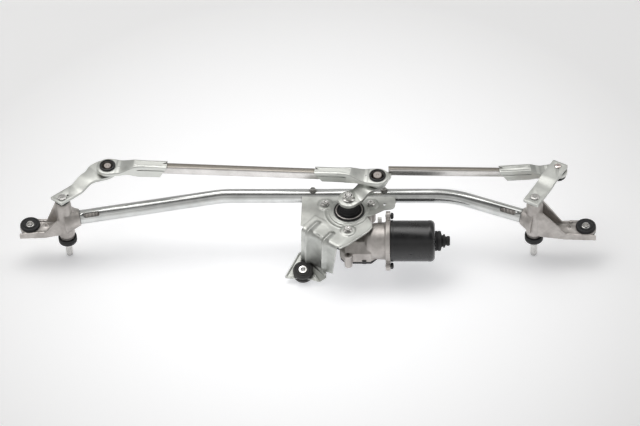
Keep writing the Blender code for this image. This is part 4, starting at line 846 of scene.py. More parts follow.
def make_crank():
    half, hub = 12.5, 15.6
    low, high = LEVER_PLANE, LEVER_PLANE + DECK_RISE
    reach = (CRANK_PIN - MOTOR).length
    angle = atan2(CRANK_PIN.y - MOTOR.y, CRANK_PIN.x - MOTOR.x)
    rows = end_rows(0, hub, low, -1) + [(8, 14.6, low), (12, 13.8, low)]
    rows += [(d, half + 1.1 - 0.11 * i, z) for i,
             (d, _, z) in enumerate(ramp_rows(13, 30, half, low, high))]
    rows += end_rows(reach, half, high, 1)
    arm = strip("arm", straight_sections(MOTOR, angle, rows), CRANK_THICKNESS)
    cut(arm, cylinder("hole", 5.3, 100, 130, MOTOR), cylinder("hole", 4.3, 110, 140, CRANK_PIN))
    bevel(arm, 0.7, 3, 35)
    arm.name = "crank_arm"
    dress(arm, "zinc_steel", "crank", ("crank_arm",))
    make_stud("crank_ball_stud", CRANK_PIN, high, CRANK_THICKNESS, CRANK_BALL_RADIUS, CRANK_BALL_Z, 4.8,
              4, 4,
              "crank")
    nut = hex_fastener("nut", MOTOR, low + 0.3, 13, 9, 7.5)
    cut(nut, cylinder("thread", 5.25, 110, 140, MOTOR))
    nut.name = "crank_nut"
    dress(nut, "bright_steel", "crank", ("crank_nut",))
    threads = [(0, 50), (9, 50), (9, 54), (6, 54.1), (6, 112), (5, 114.5)]
    for i in range(12):
        threads += [(4.95, 115.5 + i), (4.6, 116.0 + i)]
    threads += [(4.3, 127.8), (3.9, 128.8), (1.4, 128.8), (0, 128.0)]
    dress(lathe("output_shaft", threads, MOTOR, 48), "bright_steel", "crank", ("output_shaft",))


# ---- Pivots ----

BARREL_TOP, SEAL_RADIUS = 113.0, 14.0
PIVOTS = {
    "left": {"pivot": LEFT_PIVOT, "side": -1, "foot": 33.0, "reach": 54.5, "ear_top": 58.0, "neck": (0, 1),
             "end": TUBE_ENDS[0], "front_wall": 30.0, "front_high": 84.0, "back_wall": 30.0},
    "right": {"pivot": RIGHT_PIVOT, "side": 1, "foot": 36.5, "reach": 76.7, "ear_top": 54.0, "neck": (3, 2),
              "end": TUBE_ENDS[1], "front_wall": 47.0, "front_high": 100.0, "back_wall": 42.0}}
EAR_Y, EAR_RADIUS, EAR_THICKNESS = 3.0, 15.6, 5.0


def wall(name, outline, near, far):
    """A wall from an (offset, height) outline; near and far give its front and back Y at both ends."""
    last = max(abs(x - outline[0][0]) for x, z in outline)
    faces = []
    for i in (0, 1):
        face = []
        for x, z in outline:
            t = abs(x - outline[0][0]) / last
            face.append(Vector((x, near[i] + (far[i] - near[i]) * t, z)))
        faces.append(face)
    return loft(name, faces)


def make_housing(label, form):
    """Die-cast pivot housing: barrel, flared neck and spigot, walled ear, gussets and bosses."""
    pivot, side, foot, top = form["pivot"], form["side"], form["foot"], form["ear_top"]
    x0, reach = pivot.x, form["reach"]
    profile = [(0, foot), (10.8, foot), (10.8, foot + 9), (12.2, foot + 12), (12.2, 104), (11.6, 108),
               (11.6, BARREL_TOP - 1.5), (10.4, BARREL_TOP), (0, BARREL_TOP)]
    parts = [lathe("barrel", profile, pivot, 72)]
    start, end = (TUBE_CORNERS[i] for i in form["neck"])
    neck_end = point_at_x(start, end, form["end"] + side * 0.5)
    spigot_end = point_at_x(start, end, form["end"] - side * 33)
    parts.append(bar("neck", start, neck_end, 22.0, 48, 12.4))
    parts.append(bar("spigot", start, spigot_end, 9.1, 48))
    gusset = [(x0, BARREL_TOP - 3), (neck_end.x + side * 2, neck_end.z + 11),
              (neck_end.x + side * 2, neck_end.z - 11),
              (x0, start.z - 28)]
    parts.append(wall("gusset", gusset, (-5.0, 5.0), (0.0, 7.0)))
    eye = (x0 + side * reach, EAR_Y)
    turn = -pi / 2 if side > 0 else pi / 2
    rear = [(x0, EAR_Y + 11), (x0, EAR_Y - 14)]
    outline = circle(EAR_RADIUS, 33, eye, turn, pi) + (rear if side > 0 else rear[::-1])
    parts.append(prism("ear", outline, top - EAR_THICKNESS, top))
    lip_y = EAR_Y - 18.1
    far = x0 + side * (reach + 14.8)
    front_end = x0 + side * form["front_wall"]
    front = [(x0 + side * 2, form["front_high"]), (x0 + side * 13, form["front_high"] - 6),
             (front_end, top + 1),
             (far, top - 0.8), (far, top - 10.5), (front_end, top - 11), (x0 + side * 8, top - 7),
             (x0 + side * 2, top - 4)]
    parts.append(wall("front", front, (lip_y + 4.5, lip_y + 8.5), (lip_y, lip_y + 2.5)))
    back_end = x0 + side * form["back_wall"]
    back = [(x0 + side * 4, BARREL_TOP - 4), (x0 + side * 12, BARREL_TOP - 10), (back_end, top + 3),
            (x0 + side * (reach - 6), top + 1.2), (x0 + side * (reach - 6), top - 5),
            (x0 + side * 4, top - 5)]
    parts.append(wall("back", back, (8.5, 12.5), (11.5, 14.5)))
    small = Vector((x0 + side * (reach - 24), EAR_Y, 0))
    parts.append(cylinder("boss", 4.6, top - EAR_THICKNESS - 1, top + 0.6, small, 32))
    parts.append(cylinder("ejector", 2.6, top - 4, top + 3.2, small + Vector((side * 2, 9.5, 0)), 24))
    parts.append(bar("rib", Vector((x0 + side * 11, -7.5, form["front_high"] - 10)),
                     Vector((front_end, lip_y + 3.2, top - 1)), 2.1, 20))
    housing = cast(merge(parts[0], *parts[1:]), 0.75, 4, 45)
    tools = [cylinder("bore", 8.2, foot - 5, BARREL_TOP + 5, pivot),
             cylinder("eye", 10.5, 30, 80, Vector((eye[0], eye[1], 0))),
             cylinder("small", 2.6, 30, 70, small, 32)]
    for i in range(5):
        spot = point_at_x(start, end, form["end"] - side * (8 + 5 * i)) + Vector((0, -5.9, 7.4))
        tools.append(bar("flute", spot - Vector((0, 3.4, 3.4)), spot + Vector((0, 3.4, 3.4)), 1.5, 12))
    cut(housing, *tools)
    return dress(housing, "cast_aluminium", "frame", (label + "_pivot_housing",))


def make_pivot_shaft(label, form):
    """Fluted wiper shaft with its spread head on the lever."""
    pivot, foot = form["pivot"], form["foot"]
    top = LEVER_PLANE
    profile = [(0, 1.0), (1.6, 1.0), (2.2, 0.2), (4.0, 0.2), (4.7, 1.4), (4.75, foot - 6), (6, foot - 3),
               (6, 115.2),
               (4.9, 115.3), (4.9, top + 0.2), (6.6, top + 0.25), (6.7, top + 0.7), (5.9, top + 1.4),
               (3.4, top + 1.6), (2.9, top + 1.1), (0, top + 1.0)]
    shaft = lathe(label, profile, pivot, 64)
    outline = []
    for i in range(96):
        radius = 5.05 + 0.3 * cos(2 * pi * i * 16 / 96)
        outline.append((pivot.x + radius * cos(2 * pi * i / 96), pivot.y + radius * sin(2 * pi * i / 96)))
    shrink = [(pivot.x + (x - pivot.x) * 0.86, pivot.y + (y - pivot.y) * 0.86) for x, y in outline]
    rings = [(shrink, 0.3), (outline, 1.6), (outline, 21.0), (shrink, 22.8)]
    flutes = loft("flutes", [[Vector((x, y, z)) for x, y in ring] for ring, z in rings], angle=20)
    shaft = merge(shaft, flutes)
    return dress(shaft, "bright_steel", label + "_wiper_lever", (label + "_pivot_shaft",))


def make_shaft_seal(label, form):
    """Rubber cap under the housing, with a stepped rim and a lip on the shaft."""
    foot, r = form["foot"], SEAL_RADIUS
    profile = [(6.4, foot - 4.9), (9.5, foot - 4.9), (10, foot - 4.5), (11.6, foot - 4.5)]
    profile += arc_profile((r - 2.6, foot - 1.9), 2.5, -80, 0, 6)
    profile += [(r - 0.1, foot + 2.2), (r - 0.5, foot + 2.5), (r - 0.5, foot + 3.1), (r - 0.1, foot + 3.4)]
    profile += arc_profile((r - 1.1, foot + 4.9), 1.0, 0, 90, 5)
    profile += [(11.15, foot + 5.9), (11.15, foot - 0.3), (6.4, foot - 0.3)]
    seal = lathe("seal", profile, form["pivot"], 96)
    return dress(seal, "black_rubber", "frame", (label + "_shaft_seal",))


# ---- Rubber mounts ----

FOOT_CENTRE, FOOT_TILT = Vector((6, -48.6, 10.95)), radians(14)


def make_mount(label, centre, height, plate, tilt, look, wide):
    """Waisted rubber grommet with moulded rings, gripping its steel sleeve."""
    half, r = height / 2, 14.95
    upper = [(10.15, plate), (r - 0.6, plate), (r, plate + 0.6)]
    upper += arc_profile((r - 2.2, half - 2.3), 2.2, 0, 78, 6)
    upper += [(11.6, half - 0.1), (11.0, half - 0.7), (10.4, half - 0.8), (9.9, half - 0.1),
              (8.4, half - 0.05),
              (7.6, half - 0.5), (6.45, half - 0.6)]
    profile = [(radius, -z) for radius, z in upper[::-1]] + upper
    turn = Matrix.Rotation(tilt, 3, "X") @ Vector((0, 0, 1))
    grommet = lathe("grommet", profile, centre, 96, turn)
    dress(grommet, look, "frame", (label + "_grommet",))
    end = half + 0.9
    profile = [(3.9, -end), (5.7, -end), (6.2, -end + 0.5), (6.2, end - 2.2), (wide, end - 1.9),
               (wide, end - 0.4),
               (wide - 0.4, end), (3.9, end), (3.5, end - 0.6), (3.5, -end + 0.6)]
    sleeve = lathe("sleeve", profile, centre, 64, turn)
    dress(sleeve, "bright_steel", "frame", (label + "_sleeve",))


def make_pivots():
    for label, form in PIVOTS.items():
        make_housing(label, form)
        make_pivot_shaft(label, form)
        make_shaft_seal(label, form)
        centre = Vector((form["pivot"].x + form["side"] * form["reach"], EAR_Y, form["ear_top"] - 2.5))
        make_mount(label, centre, 14, 2.8, 0.0, "black_rubber", 4.9)
    make_mount("foot", FOOT_CENTRE, 16, 1.3, FOOT_TILT, "grey_rubber", 6.2)


# ---- Motor bracket ----

PLATE_TOP = 92.0
BOLTS = (Vector((40, 12.5, 0)), Vector((107.5, 12.3, 0)), Vector((75.3, -42, 0)))
TOWER_SPOT = Vector((75, -61, 0))


def sheet(name, grid, thickness):
    """A curved sheet of even thickness below a grid of points."""
    rows, columns = len(grid), len(grid[0])
    bm = bmesh.new()
    upper, lower = [], []
    for i in range(rows):
        upper.append([bm.verts.new(point) for point in grid[i]])
        back = []
        for j in range(columns):
            down = grid[min(i + 1, rows - 1)][j] - grid[max(i - 1, 0)][j]
            across = grid[i][min(j + 1, columns - 1)] - grid[i][max(j - 1, 0)]
            back.append(bm.verts.new(grid[i][j] - across.cross(down).normalized() * -thickness))
        lower.append(back)
    for i in range(rows - 1):
        for j in range(columns - 1):
            bm.faces.new((upper[i][j], upper[i][j + 1], upper[i + 1][j + 1], upper[i + 1][j]))
            bm.faces.new((lower[i][j], lower[i + 1][j], lower[i + 1][j + 1], lower[i][j + 1]))
    edge = [(0, j) for j in range(columns)] + [(i, columns - 1) for i in range(1, rows)]
    edge += [(rows - 1, j) for j in range(columns - 2, -1, -1)] + [(i, 0) for i in range(rows - 2, 0, -1)]
    for (i, j), (k, m) in zip(edge, edge[1:] + edge[:1]):
        bm.faces.new((upper[i][j], lower[i][j], lower[k][m], upper[k][m]))
    return finish_mesh(name, bm)


def bump(value, centre, width):
    return 2.718281828 ** (-((value - centre) / width) ** 2)


def leg_grid():
    """The pressed leg: two ribs run over the plate, round its folded edge and down to the foot."""
    fold_left, fold_right = Vector((5.5, -37.5, 92)), Vector((59, -77, 92))
    foot_left, foot_right = Vector((1.5, -31, 14)), Vector((50, -55, 13))
    inward = Vector((0.595, 0.804, 0))
    bend = 7.0
    grid = []
    for row in range(44):
        line = []
        down = max(0.0, (row - 19) / 24)
        for column in range(61):
            s = column / 60
            first, second = 0.20 + 0.03 * down, 0.66 + 0.06 * down
            rib = 5.6 * bump(s, first, 0.050) + 5.6 * bump(s, second, 0.050) - 2.2 * bump(s, 0.43, 0.12)
            fold = fold_left.lerp(fold_right, s)
            centre = fold + inward * bend - Vector((0, 0, bend))
            if row < 11:
                back = 34 - (34 - bend) * row / 10
                reach = 29 - 5 * ease((s - 0.3) / 0.3)
                lift = rib * ease((reach - back) / 7)
                line.append(fold + inward * back + Vector((0, 0, 0.35 + 0.7 * lift)))
            elif row < 20:
                t = (row - 10) / 9 * radians(84)
                reach = bend + 0.35 + rib * (0.7 + 0.3 * sin(t))
                line.append(centre - inward * reach * sin(t) + Vector((0, 0, reach * cos(t))))
            else:
                shoulder = centre - inward * (bend + 0.3) + Vector((0, 0, -1.0))
                fade = 1 - 0.8 * ease((down - 0.8) / 0.2)
                line.append(shoulder.lerp(foot_left.lerp(foot_right, s), down) - inward * rib * fade)
        grid.append(line)
    return grid


def make_saddle():
    """The rolled flange that carries the tube, from the plate's far edge round under the tube."""
    outline = circle(TUBE_RADIUS + 2, 44, (TUBE_Y, TUBE_Z), radians(146), radians(208))
    outline += circle(TUBE_RADIUS + 0.12, 44, (TUBE_Y, TUBE_Z), radians(354), -radians(208))
    return loft("saddle", [[Vector((x, y, z)) for y, z in outline] for x in (4.6, 143.9)])


def arc_ridge(radius, first, last, height, lift):
    """A low rounded ridge on the plate, along an arc about the motor's axis."""
    rings = []
    for i in range(25):
        angle = radians(first + (last - first) * i / 24)
        out = Vector((cos(angle), sin(angle), 0))
        middle = MOTOR + out * radius + Vector((0, 0, lift))
        rings.append([middle + out * (height * cos(a)) + Vector((0, 0, height * sin(a) * 0.8))
                      for a in [2 * pi * k / 16 for k in range(16)]])
    return loft("ridge", rings)


def make_bracket():
    """Stamped bracket: plate, tube saddle, raised ring and bolt pads, ribbed leg and tilted foot."""
    outline = [(4.6, 30), (4.6, -31), (9.5, -31.5), (58, -68), (64, -77.6), (66, -77.6), (76, -70),
               (106, -42), (110.5, -37), (111, -34), (110, -24), (103, -13), (112, -8.5), (128, 2),
               (138, 3.5),
               (142, 5.5), (143.9, 9), (143.9, 30)]
    parts = [prism("plate", outline[::-1], PLATE_TOP - 2, PLATE_TOP), make_saddle()]
    parts.append(prism("raised", circle(29.5, 72, MOTOR), PLATE_TOP - 1.5, PLATE_TOP + 1.6))
    parts.append(prism("seat", circle(26.0, 72, MOTOR), PLATE_TOP - 1.5, PLATE_TOP + 2.9))
    for bolt in BOLTS:
        pad = [(0, PLATE_TOP - 1.3), (12.0, PLATE_TOP - 1.3), (10.8, PLATE_TOP + 1.2),
               (9.6, PLATE_TOP + 1.5),
               (0, PLATE_TOP + 1.5)]
        parts.append(lathe("pad", pad, bolt, 64))
    parts.append(arc_ridge(36, 160, 262, 1.5, PLATE_TOP - 0.5))
    parts.append(sheet("leg", leg_grid(), 2.0))
    rim = [Vector((63, -77.2, 91)), Vector((76, -69.4, 91)), Vector((105.4, -42, 91)),
           Vector((110.2, -34, 91)),
           Vector((109.4, -24.5, 91))]
    for a, b in zip(rim, rim[1:]):
        parts.append(bar("rim", a, b, 1.5, 16))
    tilt = Matrix.Translation(FOOT_CENTRE) @ Matrix.Rotation(FOOT_TILT, 4, "X")
    pad = [(-27, -9), (-26, -10.5), (-8, -11.5), (10, -12.5), (22, -17), (25, -17.5), (35, -10), (35, -7),
           (24, 6),
           (-1, 32), (-5, 35), (-8, 33)]
    parts.append(loft("foot", [[tilt @ Vector((x, y, z)) for x, y in pad] for z in (-1.0, 1.0)]))
    folds = (((-4, 33, 2.4), (34, -6, 2.4), 2.6), ((-26, -9, 0.6), (-7, 32, 0.6), 1.4),
             ((-25.5, -9.6, 0.5), (-12, -10.6, 0.5), 1.3), ((16, -3, 1.0), (24, -16, 1.0), 1.2))
    for a, b, radius in folds:
        parts.append(bar("fold", tilt @ Vector(a), tilt @ Vector(b), radius, 20))
    bracket = cast(merge(parts[0], *parts[1:]), 0.8, 3, 50)
    tools = [cylinder("motor_hole", 22.5, 60, 120, MOTOR, 96),
             cylinder("tab_hole", 2.2, 80, 100, Vector((128, 13, 0)), 32),
             bar("tube_room", (-10, TUBE_Y, TUBE_Z), (160, TUBE_Y, TUBE_Z), TUBE_RADIUS + 0.1, 64)]
    tools += [cylinder("bolt_hole", 3.3, 60, 120, bolt, 32) for bolt in BOLTS]
    tools += [cylinder("seat", 7.4, PLATE_TOP + 1.6, 120, bolt, 48) for bolt in BOLTS]
    tools += [cylinder("tube_hole", 3, 60, TUBE_Z, Vector((x, TUBE_Y, 0)), 24) for x in TUBE_SCREWS]
    tools.append(loft("eye", [[tilt @ Vector((x, y, z)) for x, y in circle(10.5, 48)] for z in (-20, 20)]))
    tools.append(box("floor", (-60, -120, -10), (160, 60, 0.2)))
    cut(bracket, *tools)
    bracket.name = "motor_plate"
    return dress(bracket, "zinc_steel", "frame", ("motor_plate",))


# ---- Gear motor ----

CAN_Y, CAN_Z, CAN_RADIUS, CAN_START, CAN_END = -32.0, 60.5, 31.0, 137.6, 203.0
FLANGE_START, COVER_TOP = 130.0, 44.0
LUG = 37 / sqrt(2)


def x_lathe(name, profile, count=96, y=CAN_Y, z=CAN_Z):
    """Turn (radius, x) points about a line along X."""
    return lathe(name, profile, Vector((0, y, z)), count, Vector((1, 0, 0)))


def make_gear_housing():
    """Cast gear case: bowl with its rim, ribbed worm housing, bulging neck, motor flange and screw tower."""
    parts = [lathe("bowl", [(0, COVER_TOP), (33, COVER_TOP), (33, 82), (30, 86), (0, 86)], MOTOR, 96)]
    parts.append(prism("crown", circle(24.5, 64, MOTOR), 84, 92.7))
    parts.append(cylinder("rim", 20.3, 85, 97.3, MOTOR, 96))
    rows = []
    for x, front in ((62, -50), (70, -60), (108, -60), (119, -51)):
        face = [(-14, COVER_TOP + 0.1), (front, COVER_TOP + 0.1), (front, 61), (front + 13, 74), (-14, 78)]
        rows.append([Vector((x, y, z)) for y, z in face])
    parts.append(loft("case", rows))
    parts.append(x_lathe("worm", [(0, 64), (13, 64), (14, 66), (14, 120), (0, 120)]))
    parts.append(x_lathe("neck",
                         [(0, 98), (20, 99), (24, 103), (26.5, 110), (27.5, 120), (28, 131), (0, 131)]))
    parts.append(x_lathe("flange", [(0, FLANGE_START), (31.8, FLANGE_START), (32.5, FLANGE_START + 1),
                                    (32.5, CAN_START - 0.4), (0, CAN_START - 0.4)]))
    for sign in (1, -1):
        y, z = CAN_Y + sign * LUG, CAN_Z + sign * LUG
        parts.append(x_lathe("lug", [(0, FLANGE_START), (6.6, FLANGE_START), (7, FLANGE_START + 0.6),
                                     (7, CAN_START - 0.6), (0, CAN_START - 0.6)], 48, y, z))
    parts.append(lathe("tower",
                       [(0, 38.2), (6, 38.2), (6, 58), (6.5, 58.5), (6.5, 61.2), (5.8, 62), (0, 62)],
                       TOWER_SPOT, 48))
    for spot in BOLTS:
        parts.append(cylinder("post", 7, 60, PLATE_TOP - 2.3, spot, 48))
        parts.append(cylinder("bridge", 12, 63, 83, MOTOR.lerp(spot, 0.5), 48))
    housing = cast(merge(parts[0], *parts[1:]), 0.8, 3, 45)
    tools = [cylinder("gear_room", 26, COVER_TOP - 5, 80, MOTOR),
             cylinder("shaft_bore", 8.2, 70, 110, MOTOR),
             bar("tube_room", (-10, TUBE_Y, TUBE_Z), (160, TUBE_Y, TUBE_Z), TUBE_RADIUS + 2.35, 48),
             cylinder("seal_seat", 19, 90, 110, MOTOR),
             x_lathe("worm_bore", [(0, 65), (7, 65), (7, 145), (0, 145)]),
             x_lathe("brush_room", [(0, 118), (23, 118), (23, 145), (0, 145)]),
             cylinder("tower_hole", 2.6, 30, 70, TOWER_SPOT, 32),
             cylinder("cover_hole", 1.9, 38, 56, Vector((104, -53, 0)), 24)]
    for bolt in BOLTS:
        tools.append(cylinder("bolt_hole", 3.2, 66, 120, bolt, 24))
    for sign in (1, -1):
        y, z = CAN_Y + sign * LUG, CAN_Z + sign * LUG
        tools.append(x_lathe("lug_hole", [(0, 120), (2.7, 120), (2.7, 150), (0, 150)], 24, y, z))
    cut(housing, *tools)
    housing.name = "gear_housing"
    return dress(housing, "cast_aluminium", "frame", ("gear_housing",))


def make_gear_cover():
    """Moulded cover under the gear, with clips and the connector shell."""
    low, high = COVER_TOP - 4.5, COVER_TOP - 0.3
    disc = lathe("cover", [(0, low), (31.4, low), (32, low + 0.6), (32, high), (0, high)], MOTOR, 96)
    tongue = [(62, -20), (63, -50), (71, -59), (109, -59), (117.5, -50), (117.5, -14)]
    shell = box("shell", (54, 20, 26.5), (86, 49.9, high - 0.1))
    cover = union(disc, prism("tongue", tongue, low + 0.1, high - 0.1), shell)
    bevel(cover, 0.6, 2, 50)
    cut(cover, cylinder("gap", 6.8, 30, 60, TOWER_SPOT),
        cylinder("gap", 2.3, 30, 60, Vector((104, -53, 0))),
        box("mouth", (56.3, 31, 28.8), (83.7, 55, 41.4)))
    rails = [box("rail", (60, 22 + 5 * i, 25.6), (80, 23.5 + 5 * i, 26.9)) for i in range(4)]
    clip = merge(box("clip", (95.5, -60.6, 40.6), (101.5, -58.7, 47.5)),
                 box("hook", (95.5, -61.4, 45.8), (101.5, -60.2, 47.5)))
    cover = merge(cover, clip, *rails)
    cover.name = "gear_cover"
    return dress(cover, "black_plastic", "frame", ("gear_cover",))


def make_can():
    """Deep-drawn motor can with a rolled mouth, a stepped end and the rubber boot on its bearing."""
    r, wall_thickness = CAN_RADIUS, 1.8
    outer = [(r - 0.3, CAN_START), (r, CAN_START + 0.4), (r, CAN_START + 3.5), (r - 0.45, CAN_START + 4.2)]
    outer += [(r - 0.45, CAN_END - 10.5), (r - 0.1, CAN_END - 9.5)]
    outer += arc_profile((r - 7, CAN_END - 7), 6.9, 0, 84, 14)
    outer += [(19.5, CAN_END - 0.05), (18.7, CAN_END - 0.6), (16.6, CAN_END - 0.6), (16, CAN_END - 0.05)]
    inner = [(0, CAN_END - 0.05), (0, CAN_END - wall_thickness), (r - 7, CAN_END - wall_thickness)]
    inner += arc_profile((r - 7, CAN_END - 7), 5.2, 84, 0, 8) + [(r - wall_thickness, CAN_START)]
    can = x_lathe("motor_can", outer + inner, 128)
    for side in (1, -1):
        x0 = 168
        y, z = CAN_Y - side * r * 0.999 * cos(radians(8)), CAN_Z + r * sin(radians(8))
        dent = bar("dent", Vector((x0, y - side * 0.9, z)), Vector((x0, y + side * 0.55, z)), 2.6, 24)
        cut(can, dent)
    can.name = "motor_can"
    dress(can, "black_paint", "frame", ("motor_can",))
    start = CAN_END + 0.3
    profile = [(0, start), (14.6, start), (15, start + 0.5), (15, start + 2.6), (14.2, start + 3.1),
               (14.2, start + 3.8), (15, start + 4.3), (15, start + 7), (14, start + 8.6),
               (9.8, start + 9.4),
               (8.6, start + 10.4), (8.9, start + 11.6), (10.2, start + 12.2), (10.2, start + 14),
               (8.4, start + 14.8), (6.6, start + 15.4), (6.6, start + 17), (7.4, start + 17.6),
               (7.4, start + 20.4), (6.2, start + 21.9), (3.4, start + 21.9), (2.8, start + 20.9),
               (0, start + 20.9)]
    boot = x_lathe("can_boot", profile, 96)
    dress(boot, "black_rubber", "frame", ("can_boot",))


def make_output_seal():
    """Bellows between the housing's rim and the output shaft."""
    profile = [(6.5, 90.4), (18.5, 90.4), (18.5, 95.6), (17.8, 96.6), (16.8, 96.8), (16.2, 95.4),
               (15.0, 95.4),
               (14.6, 98.6), (13.6, 99.4), (12.9, 98.6), (12.5, 100), (12.3, 102.6), (11.4, 103.4),
               (10.9, 102.8),
               (10.6, 104.5), (10.2, 108), (9.5, 109.8), (8.2, 110.4), (6.5, 110.4)]
    seal = lathe("output_seal", profile, MOTOR, 96)
    return dress(seal, "black_rubber", "frame", ("output_seal",))


def make_gap_shadow_ring():
    """Dark ring between the bracket's hole and the housing's rim: a painted shadow filling the shaded gap
    there.
    """
    profile = [(20.4, 92.0), (22.4, 92.0), (22.6, 95.0), (22.6, 96.6), (21.9, 97.3), (21.0, 97.3),
               (20.4, 96.8)]
    gap_shadow = lathe("painted_gap_shadow", profile, MOTOR, 96)
    return dress(gap_shadow, "black_rubber", "frame", ())


def make_fasteners():
    for i, spot in enumerate(BOLTS):
        bolt = hex_fastener("bolt", spot, PLATE_TOP + 1.7, 8, 6.2, 4.6)
        cut(bolt, lathe("cup", [(0, 97.4), (1.5, 97.6), (2.6, 98.4), (0, 98.4)], spot, 24))
        bolt = merge(bolt, cylinder("shank", 2.9, 72, 94.6, spot, 24))
        dress(bolt, "bright_steel", "frame", ("motor_bolt_" + str(i + 1),))
    for label, x in zip(("left", "right"), TUBE_SCREWS):
        centre, seat = Vector((x, TUBE_Y, 0)), TUBE_Z + TUBE_RADIUS + 0.1
        head = hex_fastener("screw", centre, seat, 7.6, 5.3, 4.0)
        cut(head,
            lathe("cup", [(0, seat + 2.9), (1.5, seat + 3.0), (2.4, seat + 4.2), (0, seat + 4.2)], centre,
                  24))
        screw = merge(head, cylinder("shank", 2.6, TUBE_Z - 15.8, seat + 0.5, centre, 24))
        dress(screw, "dark_steel", "frame", (label + "_tube_screw",))
    for label, sign in (("upper", 1), ("lower", -1)):
        y, z = CAN_Y + sign * LUG, CAN_Z + sign * LUG
        profile = [(0, 129.6), (2.0, 129.6)]
        profile += [(2.4 - 0.35 * (i % 2), 130 + 0.7 * i) for i in range(11)]
        profile += [(2.4, CAN_START), (4.9, CAN_START), (4.9, CAN_START + 2.2), (4.2, CAN_START + 3.6),
                    (2.6, CAN_START + 4.3), (1.7, CAN_START + 4.2), (1.5, CAN_START + 2.6),
                    (0, CAN_START + 2.6)]
        screw = x_lathe("screw", profile, 48, y, z)
        dress(screw, "black_paint", "frame", (label + "_can_screw",))


def make_small_parts():
    """The vent tab by the motor flange, and the clip screw on the gear case."""
    tab = box("tab", (118.4, -18.5, 76.5), (124.4, -14.0, 93.6))
    bevel(tab, 0.9, 3)
    tab.name = "vent_tab"
    dress(tab, "white_plastic", "frame", ())
    screw = hex_fastener("case_screw", Vector((104.6, -43, 0)), 70.2, 5.5, 4.0, 3.4)
    dress(screw, "bright_steel", "frame", ())


make_left_link()
make_right_link()
make_left_lever()
make_right_lever()
make_crank()
make_pivots()
make_bracket()
make_gear_housing()
make_gear_cover()
make_can()
make_output_seal()
make_gap_shadow_ring()
make_fasteners()
make_small_parts()

# ---- CAD nodes that are shown with their own shape ----


def dress_cad_nodes():
    """Every CAD node that still shows gets its procedural material and smooth round faces."""
    slots = {row["node"]: row["material_slot"] for row in frame["record"]["subparts"]}
    for name, node in frame["nodes"].items():
        node.data.materials.clear()
        node.data.materials.append(LOOKS[slots[name]])
        node.data.shade_smooth()
        node.data.set_sharp_from_angle(angle=radians(32))


dress_cad_nodes()

# ---- Stage, light and camera ----

CAMERA_AZIMUTH, CAMERA_ELEVATION, CAMERA_ROLL = radians(4.345), radians(45), radians(-3.131)
CAMERA_DISTANCE, CAMERA_LENS = 4186.0, 160.3
CAMERA_TARGET = Vector((34.8, -32.8, 120))


def make_camera():
    a, e, r = CAMERA_AZIMUTH, CAMERA_ELEVATION, CAMERA_ROLL
    back = Vector((sin(a) * cos(e), -cos(a) * cos(e), sin(e)))
    level_right = Vector((cos(a), sin(a), 0))
    level_up = back.cross(level_right)
    right = level_right * cos(r) + level_up * sin(r)
    up = back.cross(right)
    camera = bpy.data.objects.new("Camera", bpy.data.cameras.new("Camera"))
    bpy.context.collection.objects.link(camera)
    spot = (CAMERA_TARGET + MIDDLE + back * CAMERA_DISTANCE) * MM
    camera.matrix_world = Matrix.Translation(spot) @ Matrix((right, up, back)).transposed().to_4x4()
    camera.data.lens = CAMERA_LENS
    camera.data.sensor_width = 36
    camera.data.clip_end = 50
    bpy.context.scene.camera = camera


def make_area(name, place, aim, size, power, colour):
    light = bpy.data.lights.new(name, "AREA")
    light.shape = "RECTANGLE"
    light.size, light.size_y = size
    light.energy = power
    light.color = colour
    item = bpy.data.objects.new(name, light)
    bpy.context.collection.objects.link(item)
    item.location = place
    item.rotation_euler = (Vector(aim) - Vector(place)).to_track_quat("-Z", "Y").to_euler()
    return item


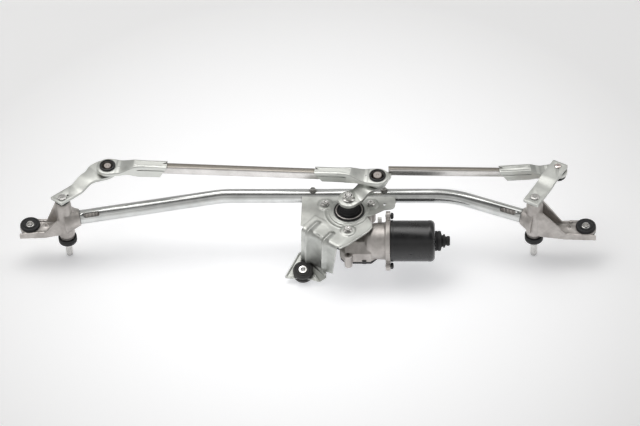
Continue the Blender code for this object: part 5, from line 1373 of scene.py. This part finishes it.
def make_world():
    """A light tent whose brightness changes with the angle from the front, over the top, to the back."""
    world = bpy.data.worlds.new("Studio")
    bpy.context.scene.world = world
    world.use_nodes = True
    tree = world.node_tree
    place = tree.nodes.new("ShaderNodeTexCoord")
    split = tree.nodes.new("ShaderNodeSeparateXYZ")
    front = tree.nodes.new("ShaderNodeMath")
    front.operation = "MULTIPLY"
    front.inputs[1].default_value = -1.0
    turn = tree.nodes.new("ShaderNodeMath")
    turn.operation = "ARCTAN2"
    share = tree.nodes.new("ShaderNodeMapRange")
    share.inputs["From Max"].default_value = pi
    ramp = tree.nodes.new("ShaderNodeValToRGB")
    tree.links.new(place.outputs["Generated"], split.inputs["Vector"])
    tree.links.new(split.outputs["Y"], front.inputs[0])
    tree.links.new(split.outputs["Z"], turn.inputs[0])
    tree.links.new(front.outputs["Value"], turn.inputs[1])
    tree.links.new(turn.outputs["Value"], share.inputs["Value"])
    tree.links.new(share.outputs["Result"], ramp.inputs["Fac"])
    tree.links.new(ramp.outputs["Color"], tree.nodes["Background"].inputs["Color"])
    stops = ((0, 0.80), (14, 0.60), (27, 0.40), (38, 0.58), (47, 0.58), (56, 0.30), (64, 0.12), (80, 0.10),
             (92, 0.30), (101, 1.10), (105, 1.45), (115, 1.45), (122, 0.75), (130, 0.42), (158, 0.34),
             (180, 0.60))
    elements = ramp.color_ramp.elements
    while len(elements) < len(stops):
        elements.new(0.5)
    for element, (angle, value) in zip(elements, stops):
        element.position = angle / 180
        element.color = (value, value * 0.995, value * 0.98, 1)
    tree.nodes["Background"].inputs["Strength"].default_value = 1.0


def make_stage():
    floor = new_object("Floor", bpy.data.meshes.new("Floor"))
    bm = bmesh.new()
    bmesh.ops.create_grid(bm, x_segments=1, y_segments=1, size=6)
    bm.to_mesh(floor.data)
    bm.free()
    floor.location.z = -0.0005
    look = bpy.data.materials.new("Floor")
    look.use_nodes = True
    shader = look.node_tree.nodes["Principled BSDF"]
    shader.inputs["Base Color"].default_value = (0.90, 0.90, 0.905, 1)
    shader.inputs["Roughness"].default_value = 0.7
    shader.inputs["Specular IOR Level"].default_value = 0.2
    # The floor glows: painted light, strongest near the middle to lift the object's shadow, fading outward.
    shader.inputs["Emission Color"].default_value = (0.96, 0.97, 1.0, 1)
    place = look.node_tree.nodes.new("ShaderNodeTexCoord")
    distance = look.node_tree.nodes.new("ShaderNodeVectorMath")
    distance.operation = "LENGTH"
    floor_painted_light = look.node_tree.nodes.new("ShaderNodeMapRange")
    floor_painted_light.inputs["From Min"].default_value = 0.10
    floor_painted_light.inputs["From Max"].default_value = 0.60
    floor_painted_light.inputs["To Min"].default_value = 0.46
    floor_painted_light.inputs["To Max"].default_value = 0.08
    look.node_tree.links.new(place.outputs["Object"], distance.inputs[0])
    look.node_tree.links.new(distance.outputs["Value"], floor_painted_light.inputs["Value"])
    look.node_tree.links.new(floor_painted_light.outputs["Result"], shader.inputs["Emission Strength"])
    floor.data.materials.append(look)
    make_area("Key", (-0.5, 0.5, 2.2), (0, 0, 0), (2.4, 1.2), 16, (1.0, 0.99, 0.98))


bpy.context.scene.view_settings.view_transform = "Standard"
make_world()
make_stage()
make_camera()
